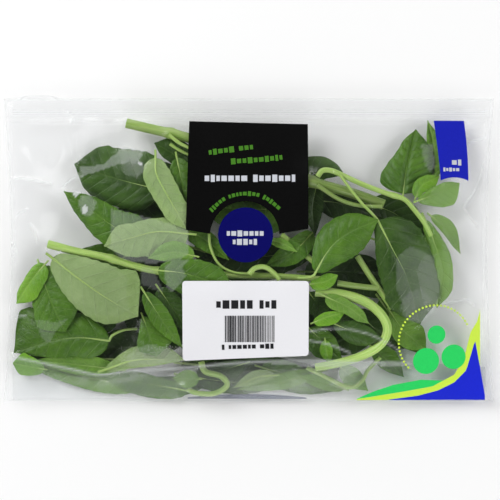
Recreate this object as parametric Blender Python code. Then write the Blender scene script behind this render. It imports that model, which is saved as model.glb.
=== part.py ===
"""Cut basil sprigs in a clear press-seal bag, lying on its back.

World frame in metres, +Z up: the origin is under the middle of the bag, +X runs along its long side
and +Y towards its zip. Plan sizes below are millimetres. The pieces are laid one on another in the
order in which they lie in the bag, each resting on the ones already there.
"""

import math

import bmesh
import bpy
import numpy as np

MM = 0.001

# The bag, flat
BAG_HALF_LENGTH = 123.5
BAG_WAIST = 3.5
BAG_BOTTOM = -77.0
BAG_TOP = 75.2
THUMB_TAB_HEIGHT = 1.8
THUMB_TAB_X = -106.0
THUMB_TAB_HALF_WIDTH = 8.0
RIM_HEIGHT = 4.0
RIM_FADE = 24.0
HEADER_START = 62.0
HEADER_END = 66.0
FILM_THICKNESS = 0.3
CROWN_HEIGHT = 24.0
CROWN_HALF_LENGTH = 124.0
CROWN_HALF_WIDTH = 71.5
CROWN_Y = -5.0
HEM = 0.035

# The zip
ZIP_Y = 68.5
ZIP_WIDTH = 3.0
ZIP_HALF_LENGTH = 119.0
ZIP_STRIP_THICKNESS = 0.8

# Leaves and what keeps the pieces apart
LEAF_THICKNESS = 0.5
STALK_HALF_WIDTH = 0.7
STALK_LENGTH = 4.0
STEM_STEP = 3.6
CLEARANCE = 0.32
LABEL_THICKNESS = 0.25

# The height map that the pieces are laid on: one cell a millimetre
MAP_X = 130
MAP_Y = 86
EDGE_MARGIN = 0.7

COLOURS = {
    "dark": (0.035, 0.095, 0.022),
    "mid": (0.075, 0.18, 0.035),
    "light": (0.17, 0.31, 0.085),
    "pale": (0.29, 0.4, 0.2),
    "bright": (0.25, 0.46, 0.07),
    "stem": (0.32, 0.5, 0.11),
    "film": (0.85, 0.87, 0.88),
    "zip": (0.8, 0.83, 0.85),
    "black": (0.006, 0.006, 0.006),
    "navy": (0.008, 0.008, 0.1),
    "paper": (0.86, 0.86, 0.88),
    "blue": (0.02, 0.03, 0.38),
}

# Each leaf: name, colour, how high it lies (0 bottom, 1 under the front film), its midrib from stalk to
# tip, its half widths left and right of the midrib, and how far its edges turn up or down.
LOW_LEAVES = (
    ("leaf_deep_left", "dark", 0.1, ((-60, -4), (-48, -14), (-34, -30)), (12,), (12,), 1.0),
    ("leaf_deep_right", "dark", 0.1, ((40, -20), (56, -14), (72, -26)), (11,), (11,), 1.0),
    ("leaf_deep_corner", "dark", 0.1, ((-76, -56), (-66, -49), (-56, -40)), (8,), (8,), 1.0),
    ("leaf_deep_centre", "dark", 0.18, ((-28, 0), (0, -8), (30, -6)), (10,), (10,), 1.5),
    ("leaf_deep_top_right", "dark", 0.28, ((60, 22), (74, 17), (91, 3)), (9,), (9,), 1.0),
    ("leaf_fold_long", "pale", 0.25, ((-58, -72), (-80, -67.5), (-100, -62), (-112, -58)), (4,), (5,), 0.5),
    ("leaf_fold_left", "mid", 0.28, ((-38, -68), (-56, -67), (-76, -65)), (5.5,), (5.5,), 0.5),
    ("leaf_fold_centre", "mid", 0.28, ((8, -61), (22, -66), (38, -72)), (7,), (6,), 0.5),
    ("leaf_fold_round", "pale", 0.35, ((-25, -66), (-38.5, -65.5)), (4.5,), (4.5,), 0.5),
    ("leaf_fold_right", "light", 0.3, ((66, -50), (73, -57), (80, -65)), (6,), (5,), 0.5),
    ("leaf_behind_arch", "mid", 0.4, ((28, 22), (0, 19), (-28, 22)), (13,), (13,), -1.0),
    ("leaf_edge_low_left", "light", 0.4, ((-66, -61), (-84, -59), (-108, -56.5)), (5,), (5.5,), 0.5),
    ("leaf_low_right", "light", 0.4, ((71, -32), (78, -42), (89, -51)), (3, 7, 8, 4), (3, 6, 6, 3), 0.8),
)
MIDDLE_LEAVES = (
    ("leaf_left_broad", "dark", 0.5, ((-70, -46.5), (-85, -45), (-100, -47), (-118.5, -52.8)),
     (8, 8.5, 7, 3), (6, 13, 14, 13), -2.5),
    ("leaf_left_olive", "mid", 0.6, ((-104, -11), (-100, -24), (-94, -37)), (9,), (8,), -1.0),
    ("leaf_left_curl", "bright", 0.68, ((-102, -8), (-109, -16), (-117, -28)),
     (5, 6, 7, 4), (3.5, 3.5, 3, 2), -2.0),
    ("leaf_low_left_pale", "pale", 0.58, ((-72, -61), (-56, -56), (-32, -56)), (3, 6.5, 7, 4), (4,), -1.0),
    ("leaf_disc_left", "mid", 0.62, ((-34, 10), (-22, 4), (-10, -6)), (5,), (5,), 0.8),
    ("leaf_panel_left_dark", "dark", 0.5, ((-24, 38), (-36, 46), (-47.5, 52.7)),
     (5, 5, 4, 2.5), (8, 8, 7, 4.5), 0.8),
    ("leaf_top_left_broad", "dark", 0.62, ((-44, 29), (-64, 34), (-86.5, 39)),
     (11, 14, 13, 9.5), (15, 15, 11, 6.5), -3.0),
    ("leaf_top_left_low", "mid", 0.7, ((-50, 5), (-66, 10), (-80, 20), (-92.5, 28.3)),
     (8, 10, 8, 3.5), (9, 8.5, 7, 3), -2.5),
    ("leaf_panel_left_strip", "mid", 0.68, ((-36, 45), (-33, 30), (-30, 14)), (7,), (6,), 1.0),
    ("leaf_sticker_left_dark", "dark", 0.66, ((-45, -20), (-38, -30), (-30, -42)), (6,), (6,), 1.0),
    ("leaf_panel_right_dark", "dark", 0.55, ((27, 35), (37, 40), (48, 36.5)), (8, 7, 4, 2), (6,), -1.0),
    ("leaf_right_pucker", "mid", 0.6, ((77, 27), (79, 41), (84, 59.7)),
     (11.5, 10, 5.5, 3), (8, 13, 12, 6), -2.0),
    ("leaf_right_edge", "light", 0.6, ((88, 14), (93, 2), (97, -12), (94, -30)),
     (3, 5.5, 5, 4), (3, 4, 6, 5), -1.2),
    ("leaf_sticker_right_low", "mid", 0.55, ((30, -40), (38, -48), (47, -57)), (6,), (8,), -1.0),
)
TOP_LEAVES = (
    ("leaf_loop_dark", "dark", 0.72, ((42, -37.5), (52, -41.5), (66, -45)),
     (2.5, 5.5, 4.5, 2), (3, 6, 6, 3), -1.5),
    ("leaf_triangle", "mid", 0.7, ((-53, -34), (-50, -42), (-46, -54)), (3, 6, 8, 7), (2, 5, 7, 5), -1.0),
    ("leaf_sticker_left_mid", "mid", 0.78, ((-52, -22), (-43, -36), (-33, -50)), (5,), (5,), 1.2),
    ("leaf_mid_left_pale", "pale", 0.8, ((-30, 7), (-46, 8), (-60, 4.5), (-72, 1)),
     (11, 12, 10, 5), (6, 6.5, 6.5, 5.5), -1.5),
    ("leaf_shoot_upper", "bright", 0.78, ((83, 25), (86, 31), (95, 36)),
     (2.5, 4, 3, 1.5), (2, 4, 4, 2.5), 1.0),
    ("leaf_shoot_lower", "bright", 0.72, ((84, 23.5), (93, 27), (105.5, 32.5)),
     (2, 3, 3.5, 2), (3, 6.5, 8, 5), -1.0),
    ("leaf_shoot_narrow", "light", 0.6, ((91, 16), (98, 10), (106, -2.8)),
     (3, 5, 4, 1.4), (2, 2.5, 1.6, 1), -1.0),
    ("leaf_sticker_right_tip", "bright", 0.8, ((30, -18), (37, -17), (44, -13.5)),
     (2, 2.5, 3.5, 2), (3, 3.5, 3, 2), -0.8),
    ("leaf_loop_pale", "light", 0.76, ((38, -24), (50, -30), (59.5, -37.5)),
     (3, 3, 3, 2), (4, 4, 3, 2), -0.8),
    ("leaf_right_broad", "dark", 0.84, ((64, 13.5), (71, 0), (79, -16), (85, -38)),
     (14, 17, 14.5, 9), (5, 11, 12.5, 8.5), -3.5),
    ("leaf_big_pale", "pale", 0.84, ((-98, -5), (-85, -15), (-72, -24), (-55, -34)),
     (7, 12.5, 15, 13), (7, 12, 13, 7), -3.0),
    ("leaf_panel_left_pale", "pale", 0.84, ((-46.5, 45), (-46, 37), (-41, 27), (-30.5, 9)),
     (6, 6.5, 6, 4), (6, 6.5, 6, 4), -1.0),
    ("leaf_sticker_top_left", "mid", 0.86, ((-45, -11), (-30, -13), (-8, -20)),
     (5, 7.5, 8, 5), (7, 10, 9, 5), -2.0),
    ("leaf_centre_right", "mid", 0.9, ((33, -12), (38, -3), (44, 4), (52, 9), (64, 14)),
     (4.5, 9.5, 9, 4.5), (6, 11, 11, 5.5), -2.5),
)
FRONT_LEAVES = (
    ("leaf_low_left_bright", "bright", 0.5, ((-103, -61), (-111, -59.5), (-119, -58)),
     (3, 4.5, 4.5, 3), (3, 4.5, 5, 4), -0.8),
)

# Each stem: name, radius at its cut end and at its tip, how high it lies, and the points of its route.
LOW_STEMS = (
    ("stem_curl", 1.3, 1.0, 0.35,
     ((-24, -57), (-22, -62), (-14, -64.5), (-11, -69), (-17, -73), (-26, -73), (-31, -71))),
    ("stem_thin_loop", 1.1, 0.9, 0.35,
     ((29, -60), (37, -64), (46, -68.5), (52, -70), (57, -66.5), (60, -61), (66, -55))),
    ("stem_middle", 1.6, 1.3, 0.6, ((16, 6.5), (24, 0), (33, -7.5))),
    ("stem_left", 2.0, 1.4, 0.62,
     ((-100.5, 2), (-86, -1.8), (-70, -5), (-55, -9.5), (-43, -11.5), (-14, -13.2), (12, -14), (36, -15.5))),
)
TOP_STEMS = (
    ("stem_long", 2.4, 2.6, 0.75,
     ((-61.5, 62.6), (-48, 59.4), (-30, 55), (0, 45.5), (30, 33.5), (52, 27), (67, 21.5))),
    ("stem_short_cut", 1.4, 1.5, 0.6, ((54, -4), (62, -16.5), (71.5, -30))),
    ("stem_loop", 2.5, 2.3, 0.7,
     ((33, -21.5), (42, -22.5), (52, -24.5), (60, -28), (66.5, -34), (69, -40.5), (66.5, -47), (60.5, -51.8),
      (52, -55.3), (42, -58), (31, -60))),
    ("stem_hook", 1.3, 1.1, 0.9,
     ((34, 35.5), (36.5, 38.4), (41, 38.3), (47, 35.8), (57, 31.3), (68, 27.2), (77, 24.2), (82, 19),
      (87, 12.5),
      (90.5, 6))),
)

# Labels stuck or printed on the front film: outlines as columns, with the bottom and top of each
PANEL_LEFT, PANEL_RIGHT = -29.6, 29.4
PANEL_TOP, PANEL_BOTTOM = 62.6, 7.6
ARCH_RADIUS = 16.7
DISC_CENTRE = (-1.7, 6.5)
DISC_RADIUS = 13.6
STICKER_BOX = (-32.7, 29.2, -55.0, -16.6)
TAG_BOX = (94.0, 109.2, 34.0, 63.9)
CORNER_PRINT_START, CORNER_PRINT_END = 56.0, 118.0
CORNER_PRINT_MARGIN = 1.2
CORNER_PRINT_EDGE = 3.2
CORNER_PRINT_SLOPE = 12.0
CORNER_PRINT_TIP = 30.0
TAG_NOTCH = 1.2

# The folded-in bottom: its ends, its seam and the line of its fold.
GUSSET_LEFT = -112.0
GUSSET_RIGHT = 116.0
GUSSET_SEAM = 1.5
FOLD_X = (-117, -90, -62, -35, 0, 35, 81, 118)
FOLD_Y = (-55, -60.5, -62.5, -60, -57, -56.5, -58, -60)


def smooth_step(value):
    """0 to 1 with flat ends."""
    value = np.clip(value, 0.0, 1.0)
    return value * value * (3 - 2 * value)


def bag_half_length(y):
    """Half the bag's length at height y: its sides draw in a little at the waist."""
    middle = (y - BAG_BOTTOM) / (BAG_TOP - BAG_BOTTOM)
    return BAG_HALF_LENGTH - BAG_WAIST * np.sin(math.pi * np.clip(middle, 0, 1))


def bag_top(x):
    """The top edge, with the raised tab that opens the zip."""
    return BAG_TOP + THUMB_TAB_HEIGHT * smooth_step(1.6 - np.abs(x - THUMB_TAB_X) / THUMB_TAB_HALF_WIDTH)


def back_height(x, y):
    """The back film: flat on the surface, and lifted at its rim."""
    side = smooth_step((np.abs(x) - BAG_HALF_LENGTH + RIM_FADE) / RIM_FADE)
    top = smooth_step((y - HEADER_START) / (HEADER_END - HEADER_START))
    bottom = 0.6 * smooth_step((BAG_BOTTOM + 12 - y) / 12)
    return RIM_HEIGHT * (1 - (1 - side) * (1 - top) * (1 - bottom))


def crown(x, y):
    """How full the bag is over each point."""
    along = np.clip(1 - np.abs(x / CROWN_HALF_LENGTH) ** 3.5, 0, 1)
    across = np.clip(1 - np.abs((y - CROWN_Y) / CROWN_HALF_WIDTH) ** 3, 0, 1)
    return CROWN_HEIGHT * (along * across) ** 0.6


class Heap:
    """The height of everything laid so far, in cells of one square millimetre."""

    def __init__(self):
        self.x = np.arange(-MAP_X, MAP_X + 1, dtype=float)
        self.y = np.arange(-MAP_Y, MAP_Y + 1, dtype=float)
        self.top = np.full((len(self.x), len(self.y)), -50.0)

    def widened(self, cells):
        """The highest point within some cells of each cell."""
        wide = self.top
        for _ in range(cells):
            wide = np.maximum(wide, np.maximum(np.roll(wide, 1, 0), np.roll(wide, -1, 0)))
            wide = np.maximum(wide, np.maximum(np.roll(wide, 1, 1), np.roll(wide, -1, 1)))
        return wide

    def under(self, wide, x, y):
        """A widened map's height under given points."""
        i = np.clip(np.rint(x + MAP_X).astype(int), 0, 2 * MAP_X)
        j = np.clip(np.rint(y + MAP_Y).astype(int), 0, 2 * MAP_Y)
        return wide[i, j]

    def cells_of(self, corners):
        """The cells in one triangle or just outside it, and its three corners' share in each."""
        low = np.floor(corners[:, :2].min(0)).astype(int)
        high = np.ceil(corners[:, :2].max(0)).astype(int)
        gx, gy = np.meshgrid(np.arange(low[0], high[0] + 1), np.arange(low[1], high[1] + 1), indexing="ij")
        (ax, ay), (bx, by), (cx, cy) = corners[:, :2]
        area = (bx - ax) * (cy - ay) - (cx - ax) * (by - ay)
        b = ((gx - ax) * (cy - ay) - (cx - ax) * (gy - ay)) / area
        c = ((bx - ax) * (gy - ay) - (gx - ax) * (by - ay)) / area
        corners = ((ax, ay), (bx, by), (cx, cy))
        longest = max(math.dist(corners[k], corners[k - 1]) for k in range(3))
        margin = min(0.6, EDGE_MARGIN * longest / abs(area))
        share = np.stack([1 - b - c, b, c], axis=-1)
        inside = share.min(-1) >= -margin
        share = np.clip(share[inside], 0, 1)
        share /= share.sum(-1, keepdims=True)
        return gx[inside] + MAP_X, gy[inside] + MAP_Y, share

    def cover(self, points, triangles):
        """Raises the map to a surface."""
        for triangle in triangles:
            i, j, share = self.cells_of(points[triangle])
            np.maximum.at(self.top, (i, j), share @ points[triangle, 2])

    def lift_clear(self, points, triangles, wide):
        """Raises a surface's points, each as little as it takes to clear the map, and tells the most."""
        most = 0.0
        for triangle in triangles:
            i, j, share = self.cells_of(points[triangle])
            if not len(i):
                continue
            short = wide[i, j] + CLEARANCE - share @ points[triangle, 2]
            worst = int(short.argmax())
            if short[worst] > 0:
                weight = share[worst]
                points[triangle, 2] += short[worst] * weight / (weight @ weight)
                most = max(most, float(short[worst]))
        return most


def grid_triangles(rows, columns):
    """The triangles of a grid of points, all with the same diagonal."""
    found = []
    for i in range(rows - 1):
        for j in range(columns - 1):
            corner = i * columns + j
            found.append((corner, corner + columns, corner + columns + 1))
            found.append((corner, corner + columns + 1, corner + 1))
    return np.array(found)


def grid_border(rows, columns):
    """The border of a grid of points, once round."""
    first = [(0, j) for j in range(columns)]
    second = [(i, columns - 1) for i in range(1, rows)]
    third = [(rows - 1, j) for j in range(columns - 2, -1, -1)]
    fourth = [(i, 0) for i in range(rows - 2, 0, -1)]
    return [i * columns + j for i, j in first + second + third + fourth]


def material_named(colour, roughness=0.5, metallic=0.0):
    """One material for each colour of piece."""
    name = "mat_" + colour
    found = bpy.data.materials.get(name)
    if found:
        return found
    made = bpy.data.materials.new(name)
    made.use_nodes = True
    shader = made.node_tree.nodes["Principled BSDF"]
    shader.inputs["Base Color"].default_value = (*COLOURS[colour], 1)
    shader.inputs["Roughness"].default_value = roughness
    shader.inputs["Metallic"].default_value = metallic
    return made


def add_sheet(name, colour, plan, top, thickness):
    """One closed thin solid: a grid of points, its underside and its edge."""
    rows, columns = top.shape
    upper = np.column_stack([plan.reshape(-1, 2), top.reshape(-1)])
    lower = upper.copy()
    lower[:, 2] -= thickness.reshape(-1)
    count = rows * columns
    triangles = grid_triangles(rows, columns)
    faces = [tuple(face) for face in triangles]
    faces += [tuple(count + face[::-1]) for face in triangles]
    border = grid_border(rows, columns)
    for here, there in zip(border, border[1:] + border[:1]):
        faces.append((here, count + here, count + there, there))
    mesh = bpy.data.meshes.new(name)
    mesh.from_pydata((np.concatenate([upper, lower]) * MM).tolist(), [], faces)
    shape = bmesh.new()
    shape.from_mesh(mesh)
    bmesh.ops.recalc_face_normals(shape, faces=shape.faces)
    shape.to_mesh(mesh)
    shape.free()
    mesh.materials.append(material_named(colour))
    piece = bpy.data.objects.new(name, mesh)
    bpy.context.collection.objects.link(piece)
    return piece


def lay_sheet(heap, name, colour, plan, top, thickness, smoothing=2, reach=3):
    """Lets a sheet down on the heap: it bends over what lies under it, and touches nothing."""
    rows, columns = top.shape
    thickness = np.broadcast_to(thickness, top.shape).astype(float)
    wide = heap.widened(1)
    floor = heap.under(heap.widened(reach), plan[..., 0], plan[..., 1]) + CLEARANCE + thickness
    top = np.maximum(top, floor)
    for _ in range(smoothing):
        padded = np.pad(top, 1, mode="edge")
        around = padded[:-2, 1:-1] + padded[2:, 1:-1] + padded[1:-1, :-2] + padded[1:-1, 2:]
        top = np.maximum(0.5 * top + 0.125 * around, floor - 0.3)
    triangles = grid_triangles(rows, columns)
    points = np.column_stack([plan.reshape(-1, 2), (top - thickness).reshape(-1)])
    for _ in range(40):
        if heap.lift_clear(points, triangles, wide) < 0.01:
            break
    top = points[:, 2].reshape(rows, columns) + thickness
    add_sheet(name, colour, plan, top, thickness)
    heap.cover(np.column_stack([plan.reshape(-1, 2), top.reshape(-1)]), triangles)
    return top


def smooth_route(points, count):
    """Evenly spaced points on a smooth curve through given ones."""
    points = np.array(points, float)
    padded = np.vstack([2 * points[0] - points[1], points, 2 * points[-1] - points[-2]])
    fine = []
    for k in range(len(points) - 1):
        a, b, c, d = padded[k : k + 4]
        for s in np.linspace(0, 1, 16, endpoint=False):
            fine.append(0.5 * (2 * b + (c - a) * s + (2 * a - 5 * b + 4 * c - d) * s**2
                               + (3 * b - a - 3 * c + d) * s**3))
    fine.append(points[-1])
    fine = np.array(fine)
    run = np.concatenate([[0], np.cumsum(np.linalg.norm(np.diff(fine, axis=0), axis=1))])
    at = np.linspace(0, run[-1], count)
    return np.column_stack([np.interp(at, run, fine[:, k]) for k in range(fine.shape[1])])


def ovate(t):
    """The outline of a basil blade: widest a third of the way up, round at its base, pointed at its tip."""
    return np.sin(math.pi * np.clip(t, 0, 1) ** 0.8) ** (0.55 + 0.5 * t)


def blade_width(t, widths):
    """A half width along the blade, from one number or from four along it."""
    if len(widths) == 1:
        return widths[0] * ovate(t)
    marks = np.array([0.12, 0.37, 0.63, 0.88])
    return ovate(t) * np.interp(t, marks, np.array(widths) / ovate(marks))


def leaf_plan(midrib, left, right, stations, lanes):
    """The grid of a leaf seen from above, its stalk first, and its half width at each station."""
    blade = smooth_route(midrib, stations)
    start = blade[0] - blade[1]
    stalk = blade[0] + start / np.linalg.norm(start) * STALK_LENGTH
    line = np.vstack([stalk, blade])
    t = np.concatenate([[0.0], np.linspace(0, 1, stations)])
    along = np.gradient(line, axis=0)
    along /= np.linalg.norm(along, axis=1)[:, None]
    side = np.column_stack([-along[:, 1], along[:, 0]])
    widths_left = np.maximum(blade_width(t, left), STALK_HALF_WIDTH)
    widths_right = np.maximum(blade_width(t, right), STALK_HALF_WIDTH)
    across = np.linspace(1, -1, lanes)
    reach = np.where(across > 0, widths_left[:, None] * across, widths_right[:, None] * across)
    plan = line[:, None, :] + side[:, None, :] * reach[..., None]
    return plan, reach


def add_leaf(heap, name, colour, level, midrib, left, right, turn):
    """A leaf and its stalk, one closed solid."""
    plan, reach = leaf_plan(midrib, left, right, stations=6, lanes=5)
    widest = np.abs(reach).max()
    top = level * crown(plan[..., 0], plan[..., 1]) + turn * (reach / widest) ** 2
    lay_sheet(heap, name, colour, plan, top, LEAF_THICKNESS)


def add_stem(heap, name, cut_radius, tip_radius, level, route):
    """A round stem laid over what is under it, held straight between the places where it rests."""
    length = np.linalg.norm(np.diff(np.array(route, float), axis=0), axis=1).sum()
    steps = max(6, int(length / (STEM_STEP * (cut_radius + tip_radius) / 2)))
    line = smooth_route(route, steps)
    radius = np.linspace(cut_radius, tip_radius, steps)
    cells = int(math.ceil(max(cut_radius, tip_radius))) + 2
    needed = heap.under(heap.widened(cells), line[:, 0], line[:, 1]) + CLEARANCE + radius
    height = np.maximum(needed, level * crown(line[:, 0], line[:, 1]))
    for _ in range(60):
        middle = 0.5 * (height[:-2] + height[2:])
        height[1:-1] = np.maximum(needed[1:-1], middle)
    curve = bpy.data.curves.new(name, "CURVE")
    curve.dimensions = "3D"
    curve.bevel_depth = MM
    curve.bevel_resolution = 2
    curve.use_fill_caps = True
    spline = curve.splines.new("POLY")
    spline.points.add(steps - 1)
    for point, (x, y), z, size in zip(spline.points, line, height, radius):
        point.co = (x * MM, y * MM, z * MM, 1)
        point.radius = size
    curve.materials.append(material_named("stem"))
    piece = bpy.data.objects.new(name, curve)
    bpy.context.collection.objects.link(piece)
    cover_tube(heap, line, height, radius)


def cover_tube(heap, line, height, radius):
    """Raises the map to a stem's top."""
    for k in range(len(line) - 1):
        for s in np.linspace(0, 1, 12, endpoint=False):
            x, y = line[k] + (line[k + 1] - line[k]) * s
            z = height[k] + (height[k + 1] - height[k]) * s
            size = max(radius[k], radius[k + 1])
            near = (heap.x[:, None] - x) ** 2 + (heap.y[None, :] - y) ** 2 < (size + EDGE_MARGIN) ** 2
            heap.top[near] = np.maximum(heap.top[near], z + size)


def film_plan(columns, rows):
    """The grid of a bag panel seen from above, with a narrow hem all round."""
    inner = np.linspace(HEM, 1 - HEM, columns)
    s = 2 * np.concatenate([[0.0], inner, [1.0]]) - 1
    v = np.concatenate([[0.0], np.linspace(HEM, 1 - HEM, rows), [1.0]])
    y = BAG_BOTTOM + (BAG_TOP - BAG_BOTTOM) * v
    x = s[:, None] * bag_half_length(y)[None, :]
    tab = (bag_top(x[:, -1]) - BAG_TOP)[:, None] * smooth_step((v - 1 + 2 * HEM) / (2 * HEM))[None, :]
    return np.stack([x, np.broadcast_to(y, x.shape) + tab], axis=-1)


def add_back_film(heap):
    """The back panel: the flat face that the bag rests on, and its lifted rim."""
    plan = film_plan(19, 13)
    top = back_height(plan[..., 0], plan[..., 1]) + FILM_THICKNESS
    add_sheet("back_film", "film", plan, top, np.full(top.shape, FILM_THICKNESS))
    rows, columns = top.shape
    points = np.column_stack([plan.reshape(-1, 2), top.reshape(-1)])
    heap.cover(points, grid_triangles(rows, columns))


def add_zip(heap):
    """The two interlocking strips of the press seal, channel below and rib above."""
    x = np.linspace(-ZIP_HALF_LENGTH, ZIP_HALF_LENGTH, 4)
    y = np.array([ZIP_Y - ZIP_WIDTH / 2, ZIP_Y + ZIP_WIDTH / 2])
    plan = np.stack(np.meshgrid(x, y, indexing="ij"), axis=-1)
    for name in ("zip_channel", "zip_rib"):
        top = np.zeros(plan.shape[:2])
        lay_sheet(heap, name, "zip", plan, top, ZIP_STRIP_THICKNESS, smoothing=0, reach=1)


def add_gusset(heap):
    """The folded-in bottom of the bag, between the herbs and the front film."""
    x = np.linspace(GUSSET_LEFT, GUSSET_RIGHT, 24)
    fold = np.interp(x, FOLD_X, FOLD_Y)
    v = np.linspace(0, 1, 4)
    y = fold[:, None] + (BAG_BOTTOM + GUSSET_SEAM - fold[:, None]) * v
    plan = np.stack([np.broadcast_to(x[:, None], y.shape), y], axis=-1)
    lay_sheet(heap, "bottom_gusset", "film", plan, np.zeros(y.shape), FILM_THICKNESS, smoothing=6)


def add_front_film(heap):
    """The front panel: drawn taut over the herbs and down to the rim."""
    plan = film_plan(25, 17)
    x, y = plan[..., 0], plan[..., 1]
    rest = heap.under(heap.widened(1), x, y) + CLEARANCE + FILM_THICKNESS
    wide = heap.under(heap.widened(4), x, y) + CLEARANCE + FILM_THICKNESS
    rest[1:-1, 1:-1] = np.maximum(rest, wide)[1:-1, 1:-1]
    top = rest.copy()
    for _ in range(150):
        around = top[:-2, 1:-1] + top[2:, 1:-1] + top[1:-1, :-2] + top[1:-1, 2:]
        top[1:-1, 1:-1] = np.maximum(rest[1:-1, 1:-1], around / 4)
    lay_sheet(heap, "front_film", "film", plan, top, FILM_THICKNESS, smoothing=0, reach=0)


def column_plan(x, low, high, rows):
    """A grid of columns, each from its own low to its own high."""
    v = np.linspace(0, 1, rows)
    y = low[:, None] + (high - low)[:, None] * v
    return np.stack([np.broadcast_to(x[:, None], y.shape), y], axis=-1)


def rounded(count, centre, reach):
    """Columns that crowd towards both ends, as a circle's outline needs."""
    return centre - reach * np.cos(np.linspace(0, math.pi, count))


def lay_label(heap, name, colour, plan):
    """A label or a patch of print that follows the film."""
    lay_sheet(heap, name, colour, plan, np.zeros(plan.shape[:2]), LABEL_THICKNESS, smoothing=4, reach=2)


def add_labels(heap):
    """The panel with its arch, the disc in the arch, the sticker, the side tag and the corner print."""
    arch = rounded(9, DISC_CENTRE[0], ARCH_RADIUS * 0.999)
    x = np.concatenate([[PANEL_LEFT, -24.0], arch, [22.0, PANEL_RIGHT]])
    rise = np.sqrt(np.clip(ARCH_RADIUS**2 - (x - DISC_CENTRE[0]) ** 2, 0, None))
    low = np.maximum(PANEL_BOTTOM, DISC_CENTRE[1] + rise)
    lay_label(heap, "panel_label", "black", column_plan(x, low, np.full(len(x), PANEL_TOP), 7))
    x = rounded(9, DISC_CENTRE[0], DISC_RADIUS * 0.999)
    half = np.maximum(np.sqrt(np.clip(DISC_RADIUS**2 - (x - DISC_CENTRE[0]) ** 2, 0, None)), 0.6)
    lay_label(heap, "disc_label", "navy", column_plan(x, DISC_CENTRE[1] - half, DISC_CENTRE[1] + half, 4))
    left, right, bottom, top = STICKER_BOX
    x = np.linspace(left, right, 8)
    lay_label(heap, "price_sticker", "paper", column_plan(x, np.full(8, bottom), np.full(8, top), 5))
    left, right, bottom, top = TAG_BOX
    x = np.linspace(left, right, 4)
    low = bottom + TAG_NOTCH * np.sin(np.linspace(0, math.pi, 4))
    lay_label(heap, "side_tag", "blue", column_plan(x, low, np.full(4, top), 5))
    x = np.linspace(CORNER_PRINT_START, CORNER_PRINT_END, 9)
    rise = np.linspace(0, 1, 9)
    high = BAG_BOTTOM + CORNER_PRINT_EDGE + CORNER_PRINT_SLOPE * rise + CORNER_PRINT_TIP * rise**6
    low = np.full(9, BAG_BOTTOM + CORNER_PRINT_MARGIN)
    lay_label(heap, "corner_print", "blue", column_plan(x, low, high, 4))


def build():
    """Lays every piece, from the back film up to the labels."""
    for found in list(bpy.data.objects):
        bpy.data.objects.remove(found)
    heap = Heap()
    add_back_film(heap)
    for leaf in LOW_LEAVES:
        add_leaf(heap, *leaf)
    for stem in LOW_STEMS:
        add_stem(heap, *stem)
    for leaf in MIDDLE_LEAVES:
        add_leaf(heap, *leaf)
    for stem in TOP_STEMS:
        add_stem(heap, *stem)
    for leaf in TOP_LEAVES:
        add_leaf(heap, *leaf)
    add_gusset(heap)
    for leaf in FRONT_LEAVES:
        add_leaf(heap, *leaf)
    add_zip(heap)
    add_front_film(heap)
    add_labels(heap)


build()
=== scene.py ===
"""Looks of a clear press-seal bag of cut basil, lying on its back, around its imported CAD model.

Plan sizes are millimetres unless a name says otherwise, and MM turns them into metres.
"""

import math

import bpy
import numpy as np
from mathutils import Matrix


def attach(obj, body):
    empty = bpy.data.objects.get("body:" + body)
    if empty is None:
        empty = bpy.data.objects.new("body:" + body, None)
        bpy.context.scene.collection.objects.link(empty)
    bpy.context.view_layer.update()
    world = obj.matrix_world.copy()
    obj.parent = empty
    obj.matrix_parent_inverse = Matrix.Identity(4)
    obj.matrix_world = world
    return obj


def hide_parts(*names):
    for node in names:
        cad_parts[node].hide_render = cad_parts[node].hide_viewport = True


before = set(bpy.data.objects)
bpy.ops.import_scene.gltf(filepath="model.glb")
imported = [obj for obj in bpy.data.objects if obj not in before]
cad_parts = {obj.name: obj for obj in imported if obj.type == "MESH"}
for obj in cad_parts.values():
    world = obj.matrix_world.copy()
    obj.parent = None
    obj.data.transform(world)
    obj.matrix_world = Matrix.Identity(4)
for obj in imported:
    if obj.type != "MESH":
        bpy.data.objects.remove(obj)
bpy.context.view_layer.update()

MM = 0.001
scene = bpy.context.scene


# ---------------------------------------------------------------------------------------------------------
# Clear film. The bag is blown polythene about 50 microns thick, glossy and a little milky. It clings to wet
# leaves and stands off between them. Pale patches with sharp borders are painted on it as painted
# reflection.

# Each piece is laid on those before it, so this map keeps the height of all that already lies there.
MAP_X, MAP_Y = 130, 86
map_x = np.arange(-MAP_X, MAP_X + 1, dtype=float)
map_y = np.arange(-MAP_Y, MAP_Y + 1, dtype=float)
heap_top = np.full((len(map_x), len(map_y)), -2.0)


def smooth_step(value):
    """Eases from 0 to 1, and stays there."""
    value = np.clip(value, 0.0, 1.0)
    return value * value * (3 - 2 * value)


def finer(grid, times):
    """A grid of values with more rows and columns between the given ones."""
    rows, columns = grid.shape[:2]
    r = np.linspace(0, rows - 1, (rows - 1) * times + 1)
    c = np.linspace(0, columns - 1, (columns - 1) * times + 1)
    i, j = np.minimum(r.astype(int), rows - 2), np.minimum(c.astype(int), columns - 2)
    a, b = (r - i)[:, None], (c - j)[None, :]
    if grid.ndim == 3:
        a, b = a[..., None], b[..., None]
    near = grid[i][:, j] * (1 - b) + grid[i][:, j + 1] * b
    far = grid[i + 1][:, j] * (1 - b) + grid[i + 1][:, j + 1] * b
    return near * (1 - a) + far * a


def cover(plan, top, times=3):
    """Raises the heap to a sheet's upper side."""
    fine_plan, fine_top = finer(plan, times), finer(top, times)
    i = np.clip(np.rint(fine_plan[..., 0] + MAP_X).astype(int), 0, 2 * MAP_X)
    j = np.clip(np.rint(fine_plan[..., 1] + MAP_Y).astype(int), 0, 2 * MAP_Y)
    np.maximum.at(heap_top, (i, j), fine_top)


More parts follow.
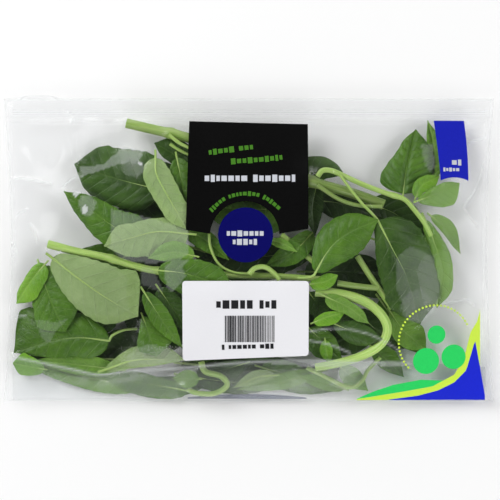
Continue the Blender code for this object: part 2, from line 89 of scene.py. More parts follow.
class Build:
    """Collects a piece's points and faces, and makes one mesh object of them."""

    def __init__(self):
        self.points, self.faces, self.slots, self.values, self.count = [], [], [], [], 0

    def add(self, points, faces, slots, values):
        """values holds, for each point: vein phase, distance from the midrib, and a colour scale that also
        carries painted shade.
        """
        self.points.append(np.asarray(points, float))
        self.faces += [tuple(int(v) + self.count for v in face) for face in faces]
        self.slots += list(slots) if not isinstance(slots, int) else [slots] * len(faces)
        self.values.append(np.broadcast_to(np.asarray(values, float), (len(points), 3)))
        self.count += len(points)

    def done(self, name, materials, sharp=50):
        mesh = bpy.data.meshes.new(name)
        mesh.from_pydata((np.vstack(self.points) * MM).tolist(), [], self.faces)
        for material in materials:
            mesh.materials.append(material)
        mesh.polygons.foreach_set("material_index", self.slots)
        values = np.vstack(self.values)
        corner = np.zeros(len(mesh.loops), int)
        mesh.loops.foreach_get("vertex_index", corner)
        mesh.uv_layers.new(name="growth").data.foreach_set("uv", values[corner][:, :2].astype("f4").ravel())
        tone_and_shading = mesh.attributes.new("tone_and_shading", "FLOAT", "POINT")
        tone_and_shading.data.foreach_set("value", values[:, 2].astype("f4"))
        mesh.shade_smooth()
        mesh.set_sharp_from_angle(angle=math.radians(sharp))
        piece = bpy.data.objects.new(name, mesh)
        scene.collection.objects.link(piece)
        return piece


def grid_faces(rows, columns, flip):
    """The quads of a grid of points."""
    i, j = np.meshgrid(np.arange(rows - 1), np.arange(columns - 1), indexing="ij")
    a = (i * columns + j).ravel()
    quads = np.column_stack([a, a + columns, a + columns + 1, a + 1])
    return quads[:, ::-1] if flip else quads


def grid_border(rows, columns):
    """The border of a grid of points, once round."""
    first = [(0, j) for j in range(columns)]
    second = [(i, columns - 1) for i in range(1, rows)]
    third = [(rows - 1, j) for j in range(columns - 2, -1, -1)]
    fourth = [(i, 0) for i in range(rows - 2, 0, -1)]
    return [i * columns + j for i, j in first + second + third + fourth]


def add_shell(build, plan, top, thickness, values, upper_slot=0, lower_slot=0):
    """A thin closed sheet: its upper side, its underside and its edge."""
    rows, columns = top.shape
    count = rows * columns
    step_u, step_v = plan[1:, :-1] - plan[:-1, :-1], plan[:-1, 1:] - plan[:-1, :-1]
    turn = (step_u[..., 0] * step_v[..., 1] - step_u[..., 1] * step_v[..., 0]).sum()
    upper = np.column_stack([plan.reshape(-1, 2), top.ravel()])
    lower = upper - np.array([0, 0, 1]) * np.broadcast_to(thickness, top.shape).reshape(-1, 1)
    quads = grid_faces(rows, columns, flip=turn < 0)
    faces = [tuple(q) for q in quads] + [tuple(count + q[::-1]) for q in quads]
    border = grid_border(rows, columns)
    for here, there in zip(border, border[1:] + border[:1]):
        side = (here, count + here, count + there, there)
        faces.append(side if turn > 0 else side[::-1])
    slots = [upper_slot] * len(quads) + [lower_slot] * len(quads) + [upper_slot] * len(border)
    build.add(np.vstack([upper, lower]), faces, slots, np.vstack([values, values]))


def node_of(tree, kind, sockets=None, **settings):
    """A node with its settings; each socket named gets a value, or a link from another node's socket."""
    made = tree.nodes.new(kind)
    for name, value in settings.items():
        setattr(made, name, value)
    for name, value in (sockets or {}).items():
        if isinstance(value, bpy.types.NodeSocket):
            tree.links.new(value, made.inputs[name])
        else:
            made.inputs[name].default_value = value
    return made


def new_material(name):
    """An empty node material and its output."""
    material = bpy.data.materials.new(name)
    material.use_nodes = True
    tree = material.node_tree
    tree.nodes.clear()
    return material, tree, tree.nodes.new("ShaderNodeOutputMaterial")


def link(tree, source, target):
    """One wire between two sockets."""
    tree.links.new(source, target)


def film_material(name, tint, milk, roughness, gloss):
    """Clear film: see-through, glossy by its angle, a little milky, and pale where reflections and
    highlights are painted on it.
    """
    material, tree, out = new_material(name)
    clear = node_of(tree, "ShaderNodeBsdfTransparent", {"Color": (*tint, 1)})
    shine = node_of(tree, "ShaderNodeBsdfGlossy", {"Roughness": roughness})
    slant = node_of(tree, "ShaderNodeLayerWeight", {"Blend": 0.5})
    steep = node_of(tree, "ShaderNodeMath", {1: 5.0, 0: slant.outputs["Facing"]}, operation="POWER")
    edge = node_of(tree, "ShaderNodeMath", {1: 0.8, 2: gloss, 0: steep.outputs[0]},
                   operation="MULTIPLY_ADD")
    clean = node_of(tree, "ShaderNodeMixShader",
                    {0: edge.outputs[0], 1: clear.outputs[0], 2: shine.outputs[0]})
    # This white diffuse shows the film's own milkiness and also the reflections and highlights painted on
    # the film.
    milky = node_of(tree, "ShaderNodeBsdfDiffuse", {"Color": (0.8, 0.83, 0.83, 1)})
    haze_and_sheen = node_of(tree, "ShaderNodeAttribute", attribute_name="haze_and_sheen")
    place = node_of(tree, "ShaderNodeTexCoord")
    mottle = node_of(tree, "ShaderNodeTexNoise",
                     {"Scale": 260.0, "Detail": 3.0, "Vector": place.outputs["Object"]})
    spread = node_of(tree, "ShaderNodeMapRange",
                     {"To Min": milk * 0.6, "To Max": milk * 1.4, "Value": mottle.outputs["Fac"]})
    total = node_of(tree, "ShaderNodeMath", {0: haze_and_sheen.outputs["Fac"], 1: spread.outputs[0]}, operation="ADD",
                    use_clamp=True)
    both = node_of(tree, "ShaderNodeMixShader",
                   {0: total.outputs[0], 1: clean.outputs[0], 2: milky.outputs[0]})
    link(tree, both.outputs[0], out.inputs["Surface"])
    wrinkle = node_of(tree, "ShaderNodeTexNoise",
                      {"Scale": 55.0, "Detail": 4.0, "Distortion": 1.2, "Vector": place.outputs["Object"]})
    bump = node_of(tree, "ShaderNodeBump",
                   {"Strength": 0.25, "Distance": 0.001, "Height": wrinkle.outputs["Fac"]})
    link(tree, bump.outputs["Normal"], shine.inputs["Normal"])
    return material


def inner_face_material():
    """The film's inner face, which only passes light on, a little unevenly."""
    material, tree, out = new_material("film_inner_face")
    place = node_of(tree, "ShaderNodeTexCoord")
    mottle = node_of(tree, "ShaderNodeTexNoise", {"Scale": 120.0, "Vector": place.outputs["Object"]})
    tint = node_of(tree, "ShaderNodeMix",
                   {6: (0.99, 0.992, 0.993, 1), 7: (1, 1, 1, 1), "Factor": mottle.outputs["Fac"]},
                   data_type="RGBA")
    clear = node_of(tree, "ShaderNodeBsdfTransparent", {"Color": tint.outputs[2]})
    link(tree, clear.outputs[0], out.inputs["Surface"])
    return material


FILM_THICKNESS = 0.06
inner_face = inner_face_material()
clear_film = film_material("clear_film", (0.995, 0.996, 0.997), 0.004, 0.1, 0.02)

# The bag, flat: its outline draws in at the waist and carries a thumb tab over the zip.
BAG_HALF_LENGTH, BAG_WAIST = 123.5, 3.5
BAG_BOTTOM, BAG_TOP = -77.0, 75.2
TAB_HEIGHT, TAB_X, TAB_HALF_WIDTH = 1.8, -106.0, 8.0
RIM_HEIGHT, RIM_FADE = 4.0, 24.0
HEADER_START, HEADER_END = 62.0, 66.0


def bag_half_length(y):
    """Half the bag's length at each height across it."""
    middle = (y - BAG_BOTTOM) / (BAG_TOP - BAG_BOTTOM)
    return BAG_HALF_LENGTH - BAG_WAIST * np.sin(math.pi * np.clip(middle, 0, 1))


def film_plan(columns, rows):
    """A panel's grid seen from above."""
    s, v = np.linspace(-1, 1, columns), np.linspace(0, 1, rows)
    y = BAG_BOTTOM + (BAG_TOP - BAG_BOTTOM) * v
    x = s[:, None] * bag_half_length(y)[None, :]
    tab = TAB_HEIGHT * smooth_step(1.6 - np.abs(x - TAB_X) / TAB_HALF_WIDTH) * smooth_step((v - 0.93) / 0.07)
    return np.stack([x, y[None, :] + tab], axis=-1)


def back_height(x, y):
    """The back film lies flat and lifts at its rim."""
    side = smooth_step((np.abs(x) - BAG_HALF_LENGTH + RIM_FADE) / RIM_FADE)
    top = smooth_step((y - HEADER_START) / (HEADER_END - HEADER_START))
    bottom = 0.6 * smooth_step((BAG_BOTTOM + 12 - y) / 12)
    return RIM_HEIGHT * (1 - (1 - side) * (1 - top) * (1 - bottom))


def add_film(name, node, plan, top, haze_and_sheen, material):
    """A panel of film, with its milkiness and its painted reflections and highlights stored on its points.
    """
    build = Build()
    values = np.column_stack([plan.reshape(-1, 2) * 0.01, np.ones(top.size)])
    add_shell(build, plan, top, FILM_THICKNESS, values, 0, 1)
    piece = build.done(name, [material, inner_face], sharp=60)
    paint = piece.data.attributes.new("haze_and_sheen", "FLOAT", "POINT")
    paint.data.foreach_set("value", np.tile(haze_and_sheen.ravel(), 2).astype("f4"))
    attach(piece, "root")
    if node:
        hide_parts(node)
    return piece


plan = film_plan(121, 77)
back_top = back_height(plan[..., 0], plan[..., 1]) + 0.25
add_film("film_back", "back_film", plan, back_top, np.full(back_top.shape, 0.02), clear_film)
cover(plan, back_top, 3)


# ---------------------------------------------------------------------------------------------------------
# Leaves. A basil blade is a limp, quilted skin: glossy green above with sunken veins, paler and matt below
# with raised ones. Each grows on a thin stalk that runs on as its midrib.

LEAF_THICKNESS = 0.34
ROW_STEP, COLUMN_STEP = 1.0, 0.95
GAP = 0.18
CROWN_HEIGHT = 25.5
CROWN_HALF_LENGTH, CROWN_HALF_WIDTH, CROWN_Y = 124.0, 71.5, -5.0
rng = np.random.default_rng(40)


def crown(x, y):
    """How high the full bag stands over each point."""
    along = np.clip(1 - np.abs(x / CROWN_HALF_LENGTH) ** 3.5, 0, 1)
    across = np.clip(1 - np.abs((y - CROWN_Y) / CROWN_HALF_WIDTH) ** 3, 0, 1)
    return CROWN_HEIGHT * (along * across) ** 0.6


def widened(height, cells):
    """Each cell takes the highest value within some cells of it."""
    for _ in range(cells):
        height = np.maximum(height, np.maximum(np.roll(height, 1, 0), np.roll(height, -1, 0)))
        height = np.maximum(height, np.maximum(np.roll(height, 1, 1), np.roll(height, -1, 1)))
    return height


def sampled(height, x, y):
    """A map's value at any points, blended between its cells."""
    fx = np.clip(x + MAP_X, 0, 2 * MAP_X - 0.001)
    fy = np.clip(y + MAP_Y, 0, 2 * MAP_Y - 0.001)
    i, j = fx.astype(int), fy.astype(int)
    a, b = fx - i, fy - j
    low = height[i, j] * (1 - b) + height[i, j + 1] * b
    high = height[i + 1, j] * (1 - b) + height[i + 1, j + 1] * b
    return low * (1 - a) + high * a


def settled(plan, shape, thickness, stiffness=0.02, rounds=160):
    """A limp sheet's height: its own shape, lifted smoothly wherever something lies under it."""
    need = sampled(widened(heap_top, 1), plan[..., 0], plan[..., 1]) + GAP + thickness - shape
    lift = np.maximum(need, 0)
    for _ in range(rounds):
        padded = np.pad(lift, 1, mode="edge")
        around = (padded[:-2, 1:-1] + padded[2:, 1:-1] + padded[1:-1, :-2] + padded[1:-1, 2:]) / 4
        lift = np.maximum(need, around / (1 + stiffness))
    return shape + lift


def smooth_route(points, count):
    """Evenly spaced points on a smooth curve through given ones."""
    points = np.array(points, float)
    padded = np.vstack([2 * points[0] - points[1], points, 2 * points[-1] - points[-2]])
    fine = []
    for k in range(len(points) - 1):
        a, b, c, d = padded[k : k + 4]
        s = np.linspace(0, 1, 24, endpoint=False)[:, None]
        fine.append(0.5 * (2 * b + (c - a) * s + (2 * a - 5 * b + 4 * c - d) * s**2
                           + (3 * b - a - 3 * c + d) * s**3))
    fine = np.vstack(fine + [points[-1:]])
    run = np.concatenate([[0], np.cumsum(np.linalg.norm(np.diff(fine, axis=0), axis=1))])
    at = np.linspace(0, run[-1], count)
    return np.column_stack([np.interp(at, run, fine[:, k]) for k in range(fine.shape[1])])


def add_tube(build, line, radius, slot, cut_slot=None, sides=12, tone_and_shading=1.0, corners=0.0):
    """A closed round stem along a line, with flat ends."""
    line = np.asarray(line, float)
    count = len(line)
    along = np.gradient(line, axis=0)
    along /= np.linalg.norm(along, axis=1)[:, None]
    flat = np.column_stack([-along[:, 1], along[:, 0], np.zeros(count)])
    flat /= np.maximum(np.linalg.norm(flat, axis=1), 1e-6)[:, None]
    up = np.cross(along, flat)
    angle = np.linspace(0, 2 * math.pi, sides, endpoint=False)
    size = np.asarray(radius, float)[:, None] * (1 + corners * np.cos(4 * angle))[None, :]
    ring = flat[:, None, :] * np.cos(angle)[None, :, None] + up[:, None, :] * np.sin(angle)[None, :, None]
    points = (line[:, None, :] + ring * size[..., None]).reshape(-1, 3)
    faces = []
    for i in range(count - 1):
        for k in range(sides):
            n = (k + 1) % sides
            faces.append((i * sides + k, i * sides + n, (i + 1) * sides + n, (i + 1) * sides + k))
    run = np.concatenate([[0], np.cumsum(np.linalg.norm(np.diff(line, axis=0), axis=1))])
    values = np.column_stack([
        np.repeat(run, sides) * 0.1, np.tile(angle / (2 * math.pi), count), np.full(count * sides, tone_and_shading)])
    ends = [tuple(range(sides))[::-1], tuple((count - 1) * sides + k for k in range(sides))]
    side_slots = [slot] * len(faces) + [cut_slot if cut_slot is not None else slot] * 2
    build.add(points, faces + ends, side_slots, values)


def leaf_material(name, body, deep, vein, roughness, relief, sheen_level):
    """Leaf skin: blotched colour, side veins from the growth map, a fine net between them."""
    material, tree, out = new_material(name)
    shader = node_of(tree, "ShaderNodeBsdfPrincipled",
                     {"Roughness": roughness, "Specular IOR Level": sheen_level})
    link(tree, shader.outputs[0], out.inputs["Surface"])
    growth = node_of(tree, "ShaderNodeUVMap", uv_map="growth")
    split = node_of(tree, "ShaderNodeSeparateXYZ", {0: growth.outputs[0]})
    place = node_of(tree, "ShaderNodeTexCoord")
    near_vein = node_of(tree, "ShaderNodeMath", {1: 0.5, 0: split.outputs["X"]}, operation="PINGPONG")
    side_vein = node_of(tree, "ShaderNodeMapRange",
                        {"From Max": 0.085, "To Min": 1.0, "To Max": 0.0, "Value": near_vein.outputs[0]},
                        interpolation_type="SMOOTHSTEP")
    midrib = node_of(tree, "ShaderNodeMapRange",
                     {"From Max": 0.08, "To Min": 1.0, "To Max": 0.0, "Value": split.outputs["Y"]},
                     interpolation_type="SMOOTHSTEP")
    veins = node_of(tree, "ShaderNodeMath", {0: side_vein.outputs[0], 1: midrib.outputs[0]},
                    operation="MAXIMUM")
    net = node_of(tree, "ShaderNodeTexVoronoi",
                  {"Scale": 420.0, "Randomness": 0.9, "Vector": place.outputs["Object"]},
                  feature="DISTANCE_TO_EDGE")
    net_line = node_of(tree, "ShaderNodeMapRange",
                       {"From Max": 0.16, "To Min": 1.0, "To Max": 0.0, "Value": net.outputs["Distance"]})
    blotch = node_of(tree, "ShaderNodeTexNoise",
                     {"Scale": 75.0, "Detail": 5.0, "Roughness": 0.6, "Vector": place.outputs["Object"]})
    blotches = node_of(tree, "ShaderNodeMapRange",
                       {"From Min": 0.3, "From Max": 0.7, "Value": blotch.outputs["Fac"]})
    skin = node_of(tree, "ShaderNodeMix", {6: (*deep, 1), 7: (*body, 1), "Factor": blotches.outputs[0]},
                   data_type="RGBA")
    vein_share = node_of(tree, "ShaderNodeMath", {1: 0.34, 0: veins.outputs[0]}, operation="MULTIPLY")
    net_share = node_of(tree, "ShaderNodeMath", {1: 0.14, 0: net_line.outputs[0]}, operation="MULTIPLY")
    share = node_of(tree, "ShaderNodeMath", {0: vein_share.outputs[0], 1: net_share.outputs[0]},
                    operation="MAXIMUM")
    veined = node_of(tree, "ShaderNodeMix", {7: (*vein, 1), "Factor": share.outputs[0], 6: skin.outputs[2]},
                     data_type="RGBA")
    # The colour is multiplied by each point's scale, which also carries painted shade.
    tone_and_shading = node_of(tree, "ShaderNodeAttribute", attribute_name="tone_and_shading")
    toned = node_of(tree, "ShaderNodeMix", {"Factor": 1.0, 6: veined.outputs[2], 7: tone_and_shading.outputs["Fac"]},
                    data_type="RGBA", blend_type="MULTIPLY")
    link(tree, toned.outputs[2], shader.inputs["Base Color"])
    grain = node_of(tree, "ShaderNodeTexNoise",
                    {"Scale": 1400.0, "Detail": 2.0, "Vector": place.outputs["Object"]})
    height_a = node_of(tree, "ShaderNodeMath", {1: relief, 0: veins.outputs[0]}, operation="MULTIPLY_ADD")
    height_b = node_of(tree, "ShaderNodeMath", {1: relief * 0.3, 0: net_line.outputs[0]},
                       operation="MULTIPLY_ADD")
    grain_share = node_of(tree, "ShaderNodeMath", {1: 0.16, 0: grain.outputs["Fac"]}, operation="MULTIPLY")
    link(tree, grain_share.outputs[0], height_b.inputs[2])
    link(tree, height_b.outputs[0], height_a.inputs[2])
    bump = node_of(tree, "ShaderNodeBump",
                   {"Strength": 0.6, "Distance": 0.0005, "Height": height_a.outputs[0]})
    link(tree, bump.outputs["Normal"], shader.inputs["Normal"])
    return material


# Upper skins by age and light, then the undersides.
SKINS = {
    "dark": leaf_material("leaf_dark", (0.044, 0.108, 0.01), (0.018, 0.052, 0.005), (0.09, 0.17, 0.03), 0.4,
                          -0.9, 0.3),
    "mid": leaf_material("leaf_mid", (0.085, 0.2, 0.013), (0.036, 0.105, 0.007), (0.15, 0.28, 0.04), 0.4,
                         -0.9, 0.3),
    "light": leaf_material("leaf_light", (0.17, 0.33, 0.045), (0.1, 0.23, 0.022), (0.26, 0.43, 0.09), 0.45,
                           -0.8, 0.3),
    "bright": leaf_material("leaf_bright", (0.17, 0.36, 0.022), (0.09, 0.25, 0.012), (0.3, 0.5, 0.08), 0.4,
                            -0.7, 0.3),
    "pale": leaf_material("leaf_pale", (0.27, 0.38, 0.145), (0.19, 0.3, 0.09), (0.34, 0.45, 0.2), 0.6, 0.8,
                          0.2),
}
UNDER = leaf_material("leaf_underside", (0.16, 0.27, 0.07), (0.11, 0.2, 0.045), (0.24, 0.36, 0.12), 0.62,
                      0.9, 0.2)


def stem_material():
    """Stem skin: smooth green with fine streaks along its length, paler towards the cut."""
    material, tree, out = new_material("stem_skin")
    shader = node_of(tree, "ShaderNodeBsdfPrincipled",
                     {"Roughness": 0.36, "Subsurface Weight": 0.15, "Subsurface Radius": (0.3, 0.6, 0.1),
                      "Subsurface Scale": 0.002})
    link(tree, shader.outputs[0], out.inputs["Surface"])
    growth = node_of(tree, "ShaderNodeUVMap", uv_map="growth")
    stretch = node_of(tree, "ShaderNodeMapping", {"Scale": (0.6, 22.0, 1.0), "Vector": growth.outputs[0]})
    streak = node_of(tree, "ShaderNodeTexNoise",
                     {"Scale": 1.0, "Detail": 4.0, "Vector": stretch.outputs[0]})
    ramp = node_of(tree, "ShaderNodeValToRGB", {0: streak.outputs["Fac"]})
    ramp.color_ramp.elements[0].position = 0.3
    ramp.color_ramp.elements[0].color = (0.24, 0.42, 0.06, 1)
    ramp.color_ramp.elements[1].position = 0.7
    ramp.color_ramp.elements[1].color = (0.47, 0.62, 0.2, 1)
    # The colour is multiplied by a scale along each stem, which also carries painted shade and a painted
    # highlight.
    tone_and_shading = node_of(tree, "ShaderNodeAttribute", attribute_name="tone_and_shading")
    toned = node_of(tree, "ShaderNodeMix", {"Factor": 1.0, 6: ramp.outputs[0], 7: tone_and_shading.outputs["Fac"]},
                    data_type="RGBA", blend_type="MULTIPLY")
    link(tree, toned.outputs[2], shader.inputs["Base Color"])
    bump = node_of(tree, "ShaderNodeBump",
                   {"Strength": 0.35, "Distance": 0.0004, "Height": streak.outputs["Fac"]})
    link(tree, bump.outputs["Normal"], shader.inputs["Normal"])
    return material


STEM_SKIN = stem_material()


def ovate(t):
    """A basil blade's outline: widest a third of the way up, round at its base, pointed at its tip."""
    return np.sin(math.pi * np.clip(t, 0, 1) ** 0.8) ** (0.55 + 0.5 * t)


def blade_width(t, widths):
    """A half width along the blade, from one number or from four along it."""
    if len(widths) == 1:
        return widths[0] * ovate(t)
    marks = np.array([0.12, 0.37, 0.63, 0.88])
    factor = np.array(widths) / ovate(marks)
    fine = np.interp(t, marks, factor)
    eased = np.convolve(np.pad(fine, 3, mode="edge"), np.ones(7) / 7, mode="valid")
    return ovate(t) * eased


def lay_leaf(node, skin, level, midrib, left, right, turn=-1.0, pucker=0.45, ruffle=0.5, tone_and_shading=1.0,
             stalk=None,
             fold=0.0, under=False):
    """Lays one leaf: turn bends its edges up or down, fold closes it along the midrib. A colour scale below
    1 darkens it: painted shade for leaves deep in the heap and in its gaps.
    """
    length = np.linalg.norm(np.diff(np.array(midrib, float), axis=0), axis=1).sum()
    rows = int(np.clip(length / ROW_STEP, 14, 56))
    columns = int(np.clip(2 * max(max(left), max(right)) / COLUMN_STEP, 9, 31)) | 1
    line = smooth_route(midrib, rows)
    tone_and_shading = tone_and_shading * rng.uniform(0.88, 1.08)
    t = np.linspace(0, 1, rows)
    along = np.gradient(line, axis=0)
    along /= np.linalg.norm(along, axis=1)[:, None]
    side = np.column_stack([-along[:, 1], along[:, 0]])
    shake = rng.uniform(0, 6.28, 6)
    teeth = 1 + 0.018 * np.sin(2 * math.pi * t * length / 5.2 + shake[0]) + 0.012 * np.sin(t * 9 + shake[1])
    widths_left = np.maximum(blade_width(t, left) * teeth, 0.25)
    widths_right = np.maximum(blade_width(t, right) * teeth, 0.25)
    across = np.linspace(1, -1, columns)
    across = np.sign(across) * np.abs(across) ** 0.92
    reach = np.where(across > 0, widths_left[:, None] * across, widths_right[:, None] * across)
    plan = line[:, None, :] + side[:, None, :] * reach[..., None]
    s = (t * length)[:, None]
    spacing = max(3.2, length / 7.5)
    phase = (s - 0.7 * np.abs(reach) - 0.006 * reach**2) / spacing + 0.35 + 0.12 * np.sign(reach)
    away = np.abs(reach)
    bulge = np.abs(np.sin(math.pi * phase)) ** 0.8 * smooth_step(away / 2.2)
    bulge = bulge * smooth_step((1.02 - np.abs(across)) / 0.3)
    sign = -1.0 if under else 1.0
    shape = level * crown(plan[..., 0], plan[..., 1])
    shape = shape + sign * pucker * (bulge - 0.5 * np.exp(-((away / 0.9) ** 2)))
    shape = shape + turn * np.abs(across) ** 2.2 * (away / 8.0).clip(0, 1.6) + fold * away
    wave = np.sin(s / 5.5 + shake[2] + 1.5 * np.sign(reach)) + 0.6 * np.sin(s / 3.1 + shake[3])
    shape = shape + ruffle * wave * np.abs(across) ** 2 * (away / 9.0).clip(0, 1.3)
    shape = shape + 0.35 * np.sin(plan[..., 0] / 6.3 + shake[4]) * np.sin(plan[..., 1] / 5.1 + shake[5])
    top = settled(plan, shape, LEAF_THICKNESS)
    tones_and_shading = tone_and_shading * (1 + 0.10 * (np.abs(across) ** 2) + 0.05 * np.sin(s / 9 + shake[1])) * np.ones_like(reach)
    values = np.column_stack([phase.ravel(), away.ravel() * 0.1, tones_and_shading.ravel()])
    build = Build()
    skin_material = SKINS[skin]
    add_shell(build, plan, top, LEAF_THICKNESS, values, 0, 1)
    middle = columns // 2
    rib_end = max(3, int(rows * 0.82))
    rib = np.column_stack([line[:rib_end], top[:rib_end, middle]])
    thick = 0.24 + 0.0085 * length
    start = rib[0]
    if stalk is None:
        back = along[0] * -min(4.0, 0.1 * length)
        stalk = (tuple(line[0] + back), tuple(line[0]))
    else:
        stalk = (*stalk, tuple(line[0]))
    steps = max(5, int(np.linalg.norm(np.diff(np.array(stalk, float), axis=0), axis=1).sum() / 1.2))
    stalk_plan = smooth_route(stalk, steps)[:-1]
    ground = sampled(widened(heap_top, 1), stalk_plan[:, 0], stalk_plan[:, 1]) + thick + 0.1
    wanted = np.linspace(start[2] - 1.5, start[2], steps)[:-1]
    stalk_height = np.maximum(ground, wanted)
    for _ in range(30):
        closed = np.concatenate([stalk_height[:1], stalk_height, [start[2]]])
        stalk_height = np.maximum(ground, (closed[:-2] + closed[2:]) / 2)
    stalk_line = np.column_stack([stalk_plan, stalk_height])
    rib[:, 2] -= LEAF_THICKNESS / 2
    whole = np.vstack([stalk_line, rib])
    rib_size = np.concatenate([np.full(len(stalk_line), thick), np.linspace(thick, 0.12, len(rib))])
    sunk = np.concatenate([np.zeros(len(stalk_line)), smooth_step(np.linspace(0, 3, len(rib)))])
    whole[:, 2] += sunk * (0.35 if under else -0.45) * rib_size
    add_tube(build, whole, rib_size, 2, sides=8, tone_and_shading=tone_and_shading)
    lower = SKINS[skin] if under else UNDER
    piece = build.done("blade_" + node, [skin_material, lower, STEM_SKIN])
    cover(plan, top)
    i = np.clip(np.rint(stalk_line[:, 0] + MAP_X).astype(int), 0, 2 * MAP_X)
    j = np.clip(np.rint(stalk_line[:, 1] + MAP_Y).astype(int), 0, 2 * MAP_Y)
    np.maximum.at(heap_top, (i, j), stalk_line[:, 2] + thick)
    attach(piece, "root")
    if "leaf_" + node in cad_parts:
        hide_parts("leaf_" + node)
    return piece


# ---------------------------------------------------------------------------------------------------------
# Stems. Cut basil stalks, four-cornered with soft edges, swollen where leaves grew, cut square with a blade.

def cut_material():
    """A fresh cut: pale pith inside a green ring."""
    material, tree, out = new_material("stem_cut")
    shader = node_of(tree, "ShaderNodeBsdfPrincipled", {"Roughness": 0.55})
    place = node_of(tree, "ShaderNodeTexCoord")
    pith = node_of(tree, "ShaderNodeTexNoise", {"Scale": 1500.0, "Vector": place.outputs["Object"]})
    ramp = node_of(tree, "ShaderNodeValToRGB", {0: pith.outputs["Fac"]})
    ramp.color_ramp.elements[0].color = (0.36, 0.46, 0.2, 1)
    ramp.color_ramp.elements[1].color = (0.66, 0.72, 0.45, 1)
    link(tree, ramp.outputs[0], shader.inputs["Base Color"])
    link(tree, shader.outputs[0], out.inputs["Surface"])
    return material


STEM_CUT = cut_material()


def lay_stem(node, level, route, cut_radius, tip_radius, joints=(), tones_and_shading=(1.0, 1.0), sides=18,
             resting=True):
    """Lays one stem over the heap, held straight between the places where it rests."""
    length = np.linalg.norm(np.diff(np.array(route, float), axis=0), axis=1).sum()
    steps = int(np.clip(length / 1.1, 12, 130))
    line = smooth_route(route, steps)
    t = np.linspace(0, 1, steps)
    radius = cut_radius + (tip_radius - cut_radius) * t
    for joint in joints:
        radius = radius * (1 + 0.24 * np.exp(-(((t - joint) * length / 2.2) ** 2)))
    cells = int(round(max(cut_radius, tip_radius)))
    ground = sampled(widened(heap_top, max(1, cells)), line[:, 0], line[:, 1]) + radius + 0.05
    height = np.maximum(ground, level * crown(line[:, 0], line[:, 1]))
    for _ in range(400):
        padded = np.concatenate([height[:1], height, height[-1:]])
        height = np.maximum(ground, (padded[:-2] + padded[2:]) / 2)
    for _ in range(6):
        padded = np.concatenate([height[:1], height, height[-1:]])
        height = (padded[:-2] + 2 * padded[1:-1] + padded[2:]) / 4
    build = Build()
    add_tube(build, np.column_stack([line, height]), radius, 0, 1, sides, 1.0, 0.05)
    values = build.values[0].copy()
    values[:, 2] = np.repeat(np.interp(t, np.linspace(0, 1, len(tones_and_shading)), tones_and_shading), sides)
    build.values[0] = values
    piece = build.done("stalk_" + node, [STEM_SKIN, STEM_CUT], sharp=55)
    for k in range(steps):
        near = (map_x[:, None] - line[k, 0]) ** 2 + (map_y[None, :] - line[k, 1]) ** 2
        inside = near < (radius[k] + 0.3) ** 2
        arch = height[k] + np.sqrt(np.clip(radius[k] ** 2 - near[inside], 0, None))
        heap_top[inside] = np.maximum(heap_top[inside], arch)
    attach(piece, "root")
    if "stem_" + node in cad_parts:
        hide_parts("stem_" + node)
    return piece


# ---------------------------------------------------------------------------------------------------------
# The herbs, in the order in which they lie: first those at the back of the bag and in its bottom fold.

# Dark leaves laid in the gaps of the heap, darkened further by the scale given to each: painted shade.
lay_leaf("deep_left", "dark", 0.1, ((-60, -4), (-48, -14), (-34, -30)), (12,), (12,), 1.0, tone_and_shading=0.7)
lay_leaf("deep_right", "dark", 0.1, ((40, -20), (56, -14), (72, -26)), (11,), (11,), 1.0, tone_and_shading=0.7)
lay_leaf("deep_corner", "dark", 0.1, ((-76, -56), (-66, -49), (-56, -40)), (8,), (8,), 1.0, tone_and_shading=0.7)
lay_leaf("deep_centre", "dark", 0.18, ((-28, 0), (0, -8), (30, -6)), (10,), (10,), 1.5, tone_and_shading=0.8)
lay_leaf("deep_top_right", "dark", 0.28, ((60, 22), (74, 17), (91, 3)), (9,), (9,), 1.0, tone_and_shading=0.8)
lay_leaf("deep_under_panel", "dark", 0.2, ((30, 44), (0, 46), (-30, 40)), (12,), (13,), 1.0)
lay_leaf("deep_under_sticker", "dark", 0.2, ((-34, -36), (0, -40), (34, -34)), (13,), (13,), 1.0)
lay_leaf("deep_low_middle", "dark", 0.15, ((-34, -58), (0, -62), (36, -60)), (9,), (9,), 0.6)
lay_leaf("deep_big_left", "dark", 0.1, ((-66, -36), (-84, -34), (-102, -28)), (10,), (12,), 0.6, tone_and_shading=0.8)
lay_leaf("deep_loop", "dark", 0.12, ((62, -32), (52, -44), (34, -52)), (9,), (10,), 0.6, tone_and_shading=0.75)
lay_leaf("deep_top_left", "dark", 0.15, ((-34, 36), (-52, 32), (-74, 30)), (11,), (12,), 0.6, tone_and_shading=0.85)
lay_leaf("deep_mid_left", "dark", 0.15, ((-32, 16), (-50, 15), (-74, 14)), (10,), (11,), 0.6, tone_and_shading=0.85)
lay_leaf("deep_left_gap", "dark", 0.12, ((-46, -14), (-54, -26), (-60, -44)), (11,), (11,), 0.6, tone_and_shading=0.6)
lay_leaf("deep_low_left", "dark", 0.12, ((-44, -50), (-60, -50), (-84, -52)), (8,), (8,), 0.6, tone_and_shading=0.75)
lay_leaf("deep_right_gap", "dark", 0.12, ((28, -12), (46, -12), (68, -14)), (9,), (9,), 0.6, tone_and_shading=0.45)
lay_leaf("deep_right_top", "dark", 0.16, ((34, 24), (48, 22), (68, 14)), (9,), (9,), 0.6, tone_and_shading=0.6)
lay_leaf("deep_right_side", "dark", 0.14, ((64, 4), (80, -2), (96, -8)), (9,), (9,), 0.6, tone_and_shading=0.8)
lay_leaf("deep_far_left", "mid", 0.12, ((-70, -28), (-88, -34), (-112, -44)), (13,), (12,), 0.6, tone_and_shading=0.8)
lay_leaf("deep_far_low_left", "dark", 0.12, ((-72, -56), (-90, -55), (-112, -55)), (6,), (6,), 0.6,
         tone_and_shading=0.8)
lay_leaf("deep_left_middle", "mid", 0.14, ((-46, -2), (-64, -6), (-90, -2)), (9,), (9,), 0.6, tone_and_shading=0.8)
